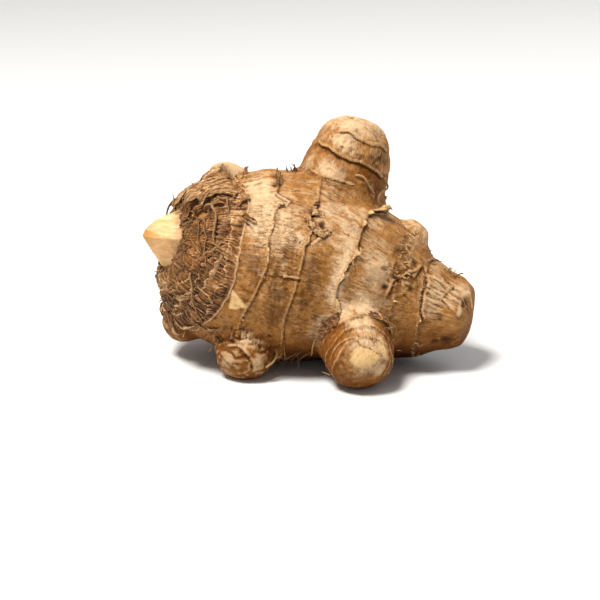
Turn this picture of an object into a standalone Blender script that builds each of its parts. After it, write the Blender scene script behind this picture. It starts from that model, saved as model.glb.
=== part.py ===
"""One jerusalem artichoke tuber lying on its side: body, knobs, buds and the cut stem, grown as one piece.

Metres, +Z up, lying along X with the cut stem towards -X. It rests on small flats at z = 0.
"""

import math

import bmesh
import bpy
from mathutils import Vector, noise

MM = 0.001

# Each limb is a run of stations (x, y, z, radius) in millimetres, from its root to its tip.
BODY = (
    (-34.4, -6.2, 4.5, 9.1),
    (-33.1, -5.8, 4.1, 13.6),
    (-30.2, -4.8, 3.5, 17.4),
    (-26.0, -3.4, 2.5, 21.2),
    (-19.4, -1.4, 1.0, 23.4),
    (-9.5, 0.0, 0.0, 25.1),
    (0.5, 0.1, -1.5, 25.4),
    (11.3, -1.0, -3.9, 23.2),
    (22.1, -3.4, -7.1, 18.9),
    (30.1, -5.8, -10.0, 15.1),
    (37.0, -7.3, -11.2, 11.3),
    (41.8, -8.8, -12.1, 9.6),
    (43.9, -9.4, -12.4, 8.3),
)
TOP_KNOB = (
    (8.9, 5.5, 13.6, 14.6),
    (10.8, 5.8, 19.7, 12.7),
    (12.6, 6.0, 26.3, 11.4),
    (13.9, 5.8, 31.1, 9.4),
)
FRONT_KNOB = (
    (13.3, -13.8, -11.7, 11.2),
    (14.7, -20.7, -14.9, 10.0),
    (15.7, -26.9, -18.2, 8.7),
)
LEFT_FOOT = (
    (-13.9, -11.4, -14.3, 9.6),
    (-14.4, -15.1, -17.7, 8.4),
    (-15.1, -18.6, -20.7, 7.4),
)
BACK_FOOT = (
    (-1.1, 11.0, -11.7, 12.2),
    (0.0, 15.2, -16.1, 9.5),
    (0.6, 19.2, -19.5, 7.6),
)
BACK_KNOB = (
    (9.6, 13.4, 2.0, 12.7),
    (11.7, 21.1, 1.9, 10.0),
    (14.1, 27.8, 1.6, 7.9),
)
TOP_BUD = (
    (26.1, -0.2, 2.9, 5.7),
    (29.9, 0.0, 7.1, 3.9),
)
COLLAR_BUD = (
    (-19.7, 5.3, 18.1, 4.9),
    (-20.2, 5.6, 21.7, 3.6),
)
LOW_BUD = (
    (-28.2, -1.8, -12.5, 5.4),
    (-32.0, -2.3, -15.8, 3.5),
)
BACK_BUD = (
    (-13.9, 19.3, 1.6, 5.0),
    (-15.2, 26.6, 1.4, 3.1),
)
SIDE_LIMBS = (
    TOP_KNOB,
    FRONT_KNOB,
    LEFT_FOOT,
    BACK_FOOT,
    BACK_KNOB,
    TOP_BUD,
    COLLAR_BUD,
    LOW_BUD,
    BACK_BUD,
)

# Scars of the old leaf scales: a low ridge all round the body at each of these stations along X.
SCALE_SCARS_X_MM = (-30.0, -21.0, -11.5, 0.0, 13.5, 28.5, 35.5)
SCAR_HEIGHT_MM = 0.55
SCAR_WIDTH_MM = 1.3

# Corners of the stem stub; the knife left two flat facets that meet in the ridge towards the front.
CUT_STEM_CORNERS = (
    (-41.3, -4.5, 10.7),
    (-42.1, -4.8, 8.8),
    (-31.5, -10.3, 9.5),
    (-38.8, -1.9, 12.4),
    (-34.8, -0.9, 13.8),
    (-30.0, 0.4, 15.4),
    (-36.9, -5.2, 0.6),
    (-33.6, -6.9, 0.6),
    (-38.4, 3.5, 9.1),
    (-37.8, 0.5, -0.2),
    (-28.5, 7.0, 14.5),
    (-29.3, 1.2, -3.2),
    (-25.3, -5.9, 8.1),
)

BODY_RING_POINTS = 56
LIMB_RING_POINTS = 32
STEPS_PER_STATION = 6
CAP_RINGS = 6
BODY_CAP_DEPTHS = (0.15, 0.25)
LIMB_CAP_DEPTHS = (0.8, 0.8)
VOXEL_MM = 1.1
SMOOTH_FACTOR = 0.5
SMOOTH_PASSES = 4
LUMP_SIZE_MM = 13.0
LUMP_HEIGHT_MM = 0.7
KEPT_FACES = 0.22
REST_DEPTH_MM = 0.9
MERGE_MM = 0.05
CRISP_EDGE_DEG = 40.0

SKIN_COLOUR = (0.42, 0.25, 0.12, 1.0)
SKIN_ROUGHNESS = 0.75


def clear_scene():
    for item in list(bpy.data.objects):
        bpy.data.objects.remove(item, do_unlink=True)


def curve_through(stations, steps):
    """Points (position, radius) on a smooth curve through the stations, in metres."""
    points = [(Vector(station[:3]) * MM, station[3] * MM) for station in stations]
    padded = [points[0]] + points + [points[-1]]
    result = []
    for index in range(1, len(padded) - 2):
        before, start, end, after = padded[index - 1:index + 3]
        for step in range(steps):
            t = step / steps
            blended = []
            for channel in (0, 1):
                a, b, c, d = before[channel], start[channel], end[channel], after[channel]
                slope_in = (c - a) * 0.5
                slope_out = (d - b) * 0.5
                curve = b * (2 * t ** 3 - 3 * t ** 2 + 1) + c * (3 * t ** 2 - 2 * t ** 3)
                curve = curve + slope_in * (t ** 3 - 2 * t ** 2 + t) + slope_out * (t ** 3 - t ** 2)
                blended.append(curve)
            result.append(tuple(blended))
    result.append(points[-1])
    return result


def scar_height(x):
    """Extra radius at one place along the body."""
    total = 0.0
    for scar in SCALE_SCARS_X_MM:
        away = (x / MM - scar) / SCAR_WIDTH_MM
        total += SCAR_HEIGHT_MM * MM * math.exp(-away * away)
    return total


def with_round_ends(points, depths):
    """Add shrinking rings at both ends so that the limb closes in a dome."""
    first_way = (points[0][0] - points[1][0]).normalized()
    last_way = (points[-1][0] - points[-2][0]).normalized()
    start = []
    finish = []
    for ring in range(1, CAP_RINGS):
        angle = 0.5 * math.pi * ring / CAP_RINGS
        reach = math.sin(angle)
        size = math.cos(angle)
        start_centre = points[0][0] + first_way * depths[0] * reach * points[0][1]
        end_centre = points[-1][0] + last_way * depths[1] * reach * points[-1][1]
        start.insert(0, (start_centre, points[0][1] * size))
        finish.append((end_centre, points[-1][1] * size))
    poles = (
        points[0][0] + first_way * depths[0] * points[0][1],
        points[-1][0] + last_way * depths[1] * points[-1][1],
    )
    return start + points + finish, poles


def make_limb(name, stations, ring_points, cap_depths, scarred=False):
    """A closed round limb lofted along its stations."""
    points, poles = with_round_ends(curve_through(stations, STEPS_PER_STATION), cap_depths)
    mesh = bpy.data.meshes.new(name)
    shape = bmesh.new()
    rings = []
    way = (points[1][0] - points[0][0]).normalized()
    side = way.orthogonal().normalized()
    for index, (centre, radius) in enumerate(points):
        ahead = points[min(index + 1, len(points) - 1)][0]
        behind = points[max(index - 1, 0)][0]
        way = (ahead - behind).normalized()
        side = (side - way * side.dot(way)).normalized()
        up = way.cross(side)
        grown = radius + (scar_height(centre.x) if scarred else 0.0)
        ring = []
        for point in range(ring_points):
            angle = 2.0 * math.pi * point / ring_points
            offset = side * math.cos(angle) + up * math.sin(angle)
            ring.append(shape.verts.new(centre + offset * grown))
        rings.append(ring)
    for lower, upper in zip(rings, rings[1:]):
        for point in range(ring_points):
            following = (point + 1) % ring_points
            shape.faces.new((lower[point], lower[following], upper[following], upper[point]))
    for ring, pole in ((rings[0], poles[0]), (rings[-1], poles[1])):
        tip = shape.verts.new(pole)
        for point in range(ring_points):
            shape.faces.new((ring[point], ring[(point + 1) % ring_points], tip))
    bmesh.ops.recalc_face_normals(shape, faces=shape.faces)
    shape.to_mesh(mesh)
    shape.free()
    limb = bpy.data.objects.new(name, mesh)
    bpy.context.scene.collection.objects.link(limb)
    return limb


def apply_modifiers(item):
    """Keep the mesh the modifiers give and drop the modifiers."""
    evaluated = item.evaluated_get(bpy.context.evaluated_depsgraph_get())
    result = bpy.data.meshes.new_from_object(evaluated)
    item.modifiers.clear()
    item.data = result


def grow_together(body, limbs):
    """Union the limbs with the body, then soften where they meet."""
    for limb in limbs:
        limb.hide_render = True
        limb.display_type = "WIRE"
        union = body.modifiers.new("grown on", "BOOLEAN")
        union.operation = "UNION"
        union.solver = "EXACT"
        union.object = limb
    remesh = body.modifiers.new("one skin", "REMESH")
    remesh.mode = "VOXEL"
    remesh.voxel_size = VOXEL_MM * MM
    soften = body.modifiers.new("soft joins", "SMOOTH")
    soften.factor = SMOOTH_FACTOR
    soften.iterations = SMOOTH_PASSES
    apply_modifiers(body)
    for limb in limbs:
        bpy.data.objects.remove(limb, do_unlink=True)


def make_lumpy(body):
    """Push the skin in and out a little, the way no tuber is quite round."""
    for vertex, normal in [(v, v.normal.copy()) for v in body.data.vertices]:
        height = noise.noise(vertex.co / (LUMP_SIZE_MM * MM))
        vertex.co += normal * height * LUMP_HEIGHT_MM * MM


def thin_out(body):
    """Fewer faces, closely following the same shape."""
    decimate = body.modifiers.new("fewer faces", "DECIMATE")
    decimate.ratio = KEPT_FACES
    decimate.use_collapse_triangulate = True
    apply_modifiers(body)


def add_cut_stem(body):
    """The stub of the stem that the knife left, with its two flat facets."""
    mesh = bpy.data.meshes.new("stem")
    shape = bmesh.new()
    for corner in CUT_STEM_CORNERS:
        shape.verts.new(Vector(corner) * MM)
    bmesh.ops.convex_hull(shape, input=shape.verts)
    bmesh.ops.recalc_face_normals(shape, faces=shape.faces)
    shape.to_mesh(mesh)
    shape.free()
    stem = bpy.data.objects.new("stem", mesh)
    bpy.context.scene.collection.objects.link(stem)
    stem.hide_render = True
    stem.display_type = "WIRE"
    union = body.modifiers.new("stem", "BOOLEAN")
    union.operation = "UNION"
    union.solver = "EXACT"
    union.object = stem
    apply_modifiers(body)
    bpy.data.objects.remove(stem, do_unlink=True)


def slice_off(body, point, outward):
    """Cut the body flat at a plane and close the cut."""
    shape = bmesh.new()
    shape.from_mesh(body.data)
    everything = shape.verts[:] + shape.edges[:] + shape.faces[:]
    bmesh.ops.bisect_plane(
        shape, geom=everything, plane_co=point, plane_no=outward, clear_outer=True
    )
    open_edges = [edge for edge in shape.edges if edge.is_boundary]
    caps = bmesh.ops.holes_fill(shape, edges=open_edges)["faces"]
    bmesh.ops.triangulate(shape, faces=caps)
    bmesh.ops.remove_doubles(shape, verts=shape.verts, dist=MERGE_MM * MM)
    bmesh.ops.recalc_face_normals(shape, faces=shape.faces)
    shape.to_mesh(body.data)
    shape.free()


def rest_on_ground(body):
    """Flatten where the tuber touches, and put that level at z = 0."""
    lowest = min(vertex.co.z for vertex in body.data.vertices)
    level = lowest + REST_DEPTH_MM * MM
    slice_off(body, Vector((0.0, 0.0, level)), Vector((0.0, 0.0, -1.0)))
    xs = [vertex.co.x for vertex in body.data.vertices]
    ys = [vertex.co.y for vertex in body.data.vertices]
    middle = Vector(((min(xs) + max(xs)) / 2, (min(ys) + max(ys)) / 2, level))
    for vertex in body.data.vertices:
        vertex.co -= middle


def finish_skin(body):
    """Smooth shading with crisp knife cuts, and the skin material."""
    material = bpy.data.materials.new("skin")
    material.use_nodes = True
    shader = material.node_tree.nodes["Principled BSDF"]
    shader.inputs["Base Color"].default_value = SKIN_COLOUR
    shader.inputs["Roughness"].default_value = SKIN_ROUGHNESS
    body.data.materials.clear()
    body.data.materials.append(material)
    body.data.polygons.foreach_set("use_smooth", [True] * len(body.data.polygons))
    body.data.set_sharp_from_angle(angle=math.radians(CRISP_EDGE_DEG))


def build():
    clear_scene()
    tuber = make_limb("tuber", BODY, BODY_RING_POINTS, BODY_CAP_DEPTHS, scarred=True)
    limbs = []
    for number, stations in enumerate(SIDE_LIMBS):
        limbs.append(make_limb("limb %d" % number, stations, LIMB_RING_POINTS, LIMB_CAP_DEPTHS))
    grow_together(tuber, limbs)
    make_lumpy(tuber)
    thin_out(tuber)
    add_cut_stem(tuber)
    rest_on_ground(tuber)
    finish_skin(tuber)


build()
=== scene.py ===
import itertools
import math
import random
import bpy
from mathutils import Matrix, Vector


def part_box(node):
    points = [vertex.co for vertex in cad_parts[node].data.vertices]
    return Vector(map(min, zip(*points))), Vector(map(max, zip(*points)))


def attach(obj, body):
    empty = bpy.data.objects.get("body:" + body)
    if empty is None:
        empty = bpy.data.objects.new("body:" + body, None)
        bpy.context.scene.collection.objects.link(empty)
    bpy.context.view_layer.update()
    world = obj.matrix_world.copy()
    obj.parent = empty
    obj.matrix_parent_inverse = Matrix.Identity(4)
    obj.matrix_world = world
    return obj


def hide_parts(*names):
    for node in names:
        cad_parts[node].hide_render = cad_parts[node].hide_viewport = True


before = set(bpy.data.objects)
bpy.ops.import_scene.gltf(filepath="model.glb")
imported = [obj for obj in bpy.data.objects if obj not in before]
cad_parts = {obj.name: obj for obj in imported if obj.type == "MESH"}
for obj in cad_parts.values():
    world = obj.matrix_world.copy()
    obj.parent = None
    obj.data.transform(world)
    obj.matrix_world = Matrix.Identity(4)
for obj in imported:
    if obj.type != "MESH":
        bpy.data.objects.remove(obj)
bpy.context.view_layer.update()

from types import SimpleNamespace

import bmesh
import bpy
import numpy as np
from mathutils import Vector
from mathutils.bvhtree import BVHTree

mm = 0.001
lowCorner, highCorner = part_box("tuber")
boxSize = highCorner - lowCorner
scene = bpy.context.scene


def inBox(fx, fy, fz):  # a place in the tuber's box, as fractions of its sides
    return Vector((lowCorner.x + boxSize.x * fx, lowCorner.y + boxSize.y * fy, lowCorner.z + boxSize.z * fz))


def spotIn(place):  # the same in millimetres
    return np.array(inBox(*place)) / mm


# camera, floor and light
studio = {
    "aim": (0.472, 0.452, 0.254), "distance": 0.6001, "elevation": 18.98, "lens": 133.3,
    "floorSize": 6.0, "floorColour": (0.83, 0.85, 0.87, 1.0), "floorRoughness": 0.7,
    "skyColour": (1.0, 0.97, 0.93, 1.0), "skyStrength": 0.30,
    "keyPlace": (-0.22, -0.16, 0.66), "keySize": 0.26, "keyPower": 8.2, "keyColour": (1.0, 0.955, 0.885),
    "rimPlace": (0.40, 0.35, 0.40), "rimSize": 0.5, "rimPower": 1.2, "rimColour": (1.0, 1.0, 1.0),
}


def addAreaLight(name, target):
    light = bpy.data.lights.new(name + "Light", "AREA")
    light.shape = "DISK"
    light.size = studio[name + "Size"]
    light.energy = studio[name + "Power"]
    light.color = studio[name + "Colour"]
    lamp = bpy.data.objects.new(name + "Light", light)
    lamp.location = target + Vector(studio[name + "Place"])
    lamp.rotation_euler = (target - lamp.location).to_track_quat("-Z", "Y").to_euler()
    scene.collection.objects.link(lamp)


def setUpStudio():
    aim = inBox(*studio["aim"])
    tilt = math.radians(studio["elevation"])
    lensData = bpy.data.cameras.new("productCamera")
    lensData.lens = studio["lens"]
    lensData.sensor_width = 36.0
    lensData.clip_start = 0.01
    camera = bpy.data.objects.new("productCamera", lensData)
    camera.location = aim + Vector((0, -math.cos(tilt), math.sin(tilt))) * studio["distance"]
    camera.rotation_euler = (aim - camera.location).to_track_quat("-Z", "Y").to_euler()
    scene.collection.objects.link(camera)
    scene.camera = camera

    half = studio["floorSize"] / 2
    sheet = bpy.data.meshes.new("floorSheet")
    corners = [(-half, -half, 0), (half, -half, 0), (half, half, 0), (-half, half, 0)]
    sheet.from_pydata(corners, [], [(0, 1, 2, 3)])
    floor = bpy.data.objects.new("floorSheet", sheet)
    scene.collection.objects.link(floor)
    paint = bpy.data.materials.new("floorPaint")
    paint.use_nodes = True
    shader = paint.node_tree.nodes["Principled BSDF"]
    shader.inputs["Base Color"].default_value = studio["floorColour"]
    shader.inputs["Roughness"].default_value = studio["floorRoughness"]
    sheet.materials.append(paint)

    world = bpy.data.worlds.new("softStudio")
    world.use_nodes = True
    sky = world.node_tree.nodes["Background"]
    sky.inputs["Color"].default_value = studio["skyColour"]
    sky.inputs["Strength"].default_value = studio["skyStrength"]
    scene.world = world
    addAreaLight("key", aim)
    addAreaLight("rim", aim)
    scene.view_settings.view_transform = "Standard"
    print("studio ready")


setUpStudio()


# smooth noise on arrays of points
noiseRandom = np.random.RandomState(11)
noiseTable = np.concatenate([noiseRandom.permutation(256)] * 3)
noiseWays = noiseRandom.normal(size=(256, 3))
noiseWays /= np.linalg.norm(noiseWays, axis=1, keepdims=True)


def waves(points, seed=0.0):  # gradient noise, about -1 to 1
    points = points + seed * 17.31
    cell = np.floor(points).astype(np.int64)
    part = points - cell
    fade = part ** 3 * (part * (part * 6 - 15) + 10)
    total = np.zeros(len(points))
    for corner in itertools.product((0, 1), repeat=3):
        x, y, z = ((cell + corner) & 255).T
        way = noiseWays[noiseTable[noiseTable[noiseTable[x] + y] + z]]
        weight = np.prod(np.where(corner, fade, 1 - fade), axis=1)
        total += weight * (way * (part - corner)).sum(axis=1)
    return total * 1.7


def layered(points, seed=0.0, layers=3):  # noise with finer noise over it
    total = np.zeros(len(points))
    for layer in range(layers):
        total += 0.5 ** layer * waves(points * 2.0 ** layer, seed + layer)
    return total / 1.6


def onCircle(turn, size, seed):  # places on a circle, so that noise joins up all the way round
    return np.stack([np.cos(turn) * size, np.sin(turn) * size, np.zeros_like(turn) + seed], axis=-1)


def creased(noiseValue):  # sharp valleys and rounded ridges
    return 1 - 2 * np.abs(noiseValue)


def step(value, start, end):  # 0 before start, 1 after end
    t = np.clip((value - start) / (end - start), 0, 1)
    return t * t * (3 - 2 * t)


def bump(value, centre, width):
    return np.exp(-((value - centre) / width) ** 2)


def degreesApart(first, second):
    return (first - second + 180) % 360 - 180


# the tuber's own coordinates: along the growth line and around it
# growth line marks as fractions of the box, from the stem end to the far tip
growthMarks = (
    (0.086, 0.408, 0.474), (0.133, 0.428, 0.459), (0.255, 0.477, 0.42), (0.366, 0.498, 0.405),
    (0.478, 0.499, 0.382), (0.599, 0.483, 0.345), (0.72, 0.448, 0.295), (0.81, 0.413, 0.25),
    (0.887, 0.391, 0.232), (0.965, 0.361, 0.213),
)
markPoints = np.array([inBox(*mark) for mark in growthMarks]) / mm
lineY = np.polyfit(markPoints[:, 0], markPoints[:, 1], 3)
lineZ = np.polyfit(markPoints[:, 0], markPoints[:, 2], 3)


def growthPoint(along):
    return np.stack([along, np.polyval(lineY, along), np.polyval(lineZ, along)], axis=-1)


def growthWay(along):
    slopes = [np.polyval(np.polyder(line), along) for line in (lineY, lineZ)]
    way = np.stack([np.ones_like(along)] + slopes, axis=-1)
    return way / np.linalg.norm(way, axis=-1, keepdims=True)


def acrossWays(along):  # the up and front directions square to the growth line
    way = growthWay(along)
    up = np.array([0, 0, 1.0]) - way * way[..., 2:3]
    up /= np.linalg.norm(up, axis=-1, keepdims=True)
    return up, np.cross(way, up)


def bodyPlace(points):  # millimetres along, degrees around (0 front, 90 top), distance out
    along = points[..., 0].copy()
    for _ in range(12):
        ahead = ((points - growthPoint(along)) * growthWay(along)).sum(axis=-1)
        along = np.clip(along + ahead * 0.8, -48, 52)
    out = points - growthPoint(along)
    up, front = acrossWays(along)
    around = np.degrees(np.arctan2((out * up).sum(axis=-1), (out * front).sum(axis=-1)))
    return along, around, np.linalg.norm(out, axis=-1)


# knobs: root and tip as fractions of the box, radius in mm
knobs = {
    "top": {"root": (0.572, 0.578, 0.615), "tip": (0.64, 0.58, 0.985), "radius": 12.4},
    "front": {"root": (0.621, 0.297, 0.224), "tip": (0.655, 0.02, 0.08), "radius": 9.9},
    "left": {"root": (0.316, 0.332, 0.184), "tip": (0.299, 0.17, 0.04), "radius": 8.3},
    "backFoot": {"root": (0.46, 0.658, 0.224), "tip": (0.484, 0.84, 0.04), "radius": 9.4},
    "back": {"root": (0.58, 0.693, 0.436), "tip": (0.655, 0.99, 0.425), "radius": 9.6},
    "topBud": {"root": (0.765, 0.495, 0.45), "tip": (0.83, 0.5, 0.556), "radius": 4.4},
    "collarBud": {"root": (0.251, 0.575, 0.685), "tip": (0.244, 0.582, 0.785), "radius": 4.2},
    "lowBud": {"root": (0.156, 0.472, 0.212), "tip": (0.09, 0.458, 0.125), "radius": 4.2},
    "backBud": {"root": (0.316, 0.779, 0.43), "tip": (0.297, 0.93, 0.426), "radius": 4.0},
}


def knobFrame(name):  # a knob's root and tip in mm, and its directions along and across
    root, tip = spotIn(knobs[name]["root"]), spotIn(knobs[name]["tip"])
    way = (tip - root) / np.linalg.norm(tip - root)
    side = np.cross(way, (0.0, 0.0, 1.0) if abs(way[2]) < 0.9 else (0.0, -1.0, 0.0))
    side /= np.linalg.norm(side)
    return root, tip, way, side, np.cross(side, way)


def knobPlace(points, name):  # 0 root to 1 tip, distance from its line, degrees around it, mm along it
    root, tip, way, side, other = knobFrame(name)
    out = points - root
    reachMm = out @ way
    flat = out - reachMm[:, None] * way
    around = np.degrees(np.arctan2(flat @ other, flat @ side))
    return reachMm / np.linalg.norm(tip - root), np.linalg.norm(flat, axis=1), around, reachMm


# scale scars: where each ring lies, as (degrees around, mm along) marks, and how strongly it stands out
scarRings = {
    "collarRim": {"marks": ((-130, -31), (-90, -32.5), (-42, -31.2), (-33, -29.4), (-21, -27.8), (-9,
        -26.3), (4, -25.3), (16, -24.8), (26, -24.1), (34, -23), (51, -21.7), (59, -21.6), (69, -22.1), (79,
        -23), (110, -24), (150, -25)), "wobble": 0.5, "strength": 0.5},
    "second": {"marks": ((-120, -20), (-60, -20.5), (-23, -19.8), (-16, -18.9), (-6, -17.4), (5, -15.7),
        (14, -14.5), (22, -14.9), (32, -15.2), (42, -14.2), (51, -13.9), (57, -10.8), (61, -14.1), (65,
        -13.9), (75, -12.8), (81, -13.1), (120, -14), (160, -16)), "wobble": 0.35, "strength": 0.8},
    "third": {"marks": ((-150, -4), (-90, -3), (-44, -2.6), (-31, -3.2), (-21, -4.1), (-12, -4.3), (-3,
        -3.5), (6, -2.9), (33, -2.7), (43, -1.6), (51, -2.9), (59, -1.8), (90, -2.5), (140, -3)),
        "wobble": 0.4, "strength": 0.9},
    "fourth": {"marks": ((-150, 12), (-90, 13), (-30, 12), (-2, 11.8), (6, 10.1), (15, 9.6), (24, 10.5),
        (33, 11.5), (44, 12.1), (64, 11.7), (77, 12.2), (90, 14.2), (140, 13)), "wobble": 0.35,
        "strength": 1.3},
    "fifth": {"marks": ((-140, 25), (-60, 26), (11, 25.1), (23, 24.6), (34, 24.1), (44, 23.3), (57, 22.9),
        (68, 22.1), (140, 23.5)), "wobble": 0.9, "strength": 0.35},
    "sixth": {"marks": ((-140, 32.5), (-60, 33), (-25, 32.8), (-5, 32.4), (3, 32.6), (18, 31.4), (35, 30.6),
        (54, 29.9), (74, 29.4), (140, 31)), "wobble": 0.5, "strength": 0.6},
}


def ringFromMarks(marks, around, noisePlace, seed, wobble):  # a ring's place at each angle
    degrees, places = np.array(marks, dtype=float).T
    degrees = np.concatenate([degrees[-2:] - 360, degrees, degrees[:2] + 360])
    places = np.concatenate([places[-2:], places, places[:2]])
    return np.interp(around, degrees, places) + layered(noisePlace, seed, 3) * wobble


def ringAlong(name, around):
    marks = scarRings[name]["marks"]
    circle = onCircle(np.radians(around), 5, marks[0][0])
    return ringFromMarks(marks, around, circle, len(name), scarRings[name]["wobble"])


# the skin
skinPlan = {
    "voxel": 0.43 * mm, "smoothPasses": 26,
    "dentSize": 9.0, "dentDepth": 0.45, "lumpSize": 3.2, "lumpDepth": 0.18,
    "ribHeight": 0.09, "ribWidth": 0.9, "ribLength": 6.0,
    "lipHeight": 0.16, "lipWidth": 0.30, "stepDepth": 0.20,
    "roughFold": 0.34, "lobeRib": 0.24, "stemSink": 1.6,
    "collarSink": 0.55, "cavityDepth": 3.0, "budHollow": 0.8,
    "wrinkle": {"top": 0.22, "left": 0.40, "collarBud": 0.4, "topBud": 0.3}, "plainWrinkle": 0.1,
}
# soft patches on the body: mm along, degrees around, half sizes in mm and degrees, strength
# the pale spots are pale skin, and on the upper front also a painted sheen
paleSpots = (
    (-18, 55, 5, 35, 1.0), (-11, 40, 5, 26, 0.8), (-12, 62, 4, 15, 0.5), (-9, 18, 3, 12, 0.35),
    (1, 60, 6, 25, 0.55), (8, 50, 4, 28, 0.6), (9.3, 18, 2.4, 20, 1.1), (9.8, 42, 1.9, 18, 1.0),
    (9.0, -16, 4, 12, 0.9), (17, 40, 5, 25, 0.5), (34, 38, 4, 30, 0.7), (38, 55, 3, 20, 0.6),
    (22, 15, 4, 12, 0.35), (19, 34, 4.5, 22, 0.8), (-16, 150, 6, 40, 0.5), (4, 160, 6, 30, 0.5),
    (20, -150, 7, 40, 0.4), (-6, 120, 5, 20, 0.5),
)
umberSpots = (
    (-17, 4, 6, 32, 1.1), (-17, 24, 3.0, 14, 0.8), (-8.5, 4, 6.5, 38, 1.45), (-8, -42, 8, 25, 0.8),
    (1, -4, 5.5, 36, 1.1), (14, 36, 2.0, 26, 0.4), (25.5, 42, 3.6, 34, 0.7), (31, 4, 4.5, 18, 0.5),
    (-1, 48, 2.6, 9, 0.9), (2, 82, 3, 14, 0.4), (40, -20, 3, 15, 0.6), (-20, 84, 3, 14, 0.6),
    (27, 10, 3, 25, 0.4), (-10, 170, 8, 40, 0.6), (12, 140, 6, 30, 0.6), (24, 190, 7, 50, 0.6),
    (0, -120, 9, 50, 0.5), (-20, -150, 7, 30, 0.6),
)
# small holes and eyes, with painted shade inside: mm along, degrees around, size in mm, depth in mm, darkness
# of that shade
pits = (
    (41.0, 52, 1.3, 0.7, 0.7), (39.6, -26, 1.7, 0.6, 0.9), (37.2, -30, 1.0, 0.3, 0.6),
    (36.9, 12, 0.9, 0.3, 0.5), (-2.6, 53, 1.0, 0.6, 1.0), (0.8, 47, 1.1, 0.5, 0.6),
    (-14.0, 71, 1.3, 0.4, 0.8), (-12.9, 78, 0.9, 0.4, 0.8), (26.5, 60, 1.0, 0.5, 0.9),
    (23.6, 36, 0.9, 0.5, 0.8), (21.8, 25, 0.8, 0.4, 0.8), (28.0, 32, 0.9, 0.4, 0.7),
    (30.5, -62, 1.5, 0.6, 0.7), (34.0, 160, 1.6, 0.6, 0.8), (-6.0, 150, 1.2, 0.5, 0.7),
)
budGrowth = {
    "topBud": {"height": 1.7, "width": 4.4, "spread": 0.1},
    "lowBud": {"height": 3.0, "width": 5.5, "spread": 1.0},
    "collarBud": {"height": 2.0, "width": 4.9, "spread": 0.6},
}
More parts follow.
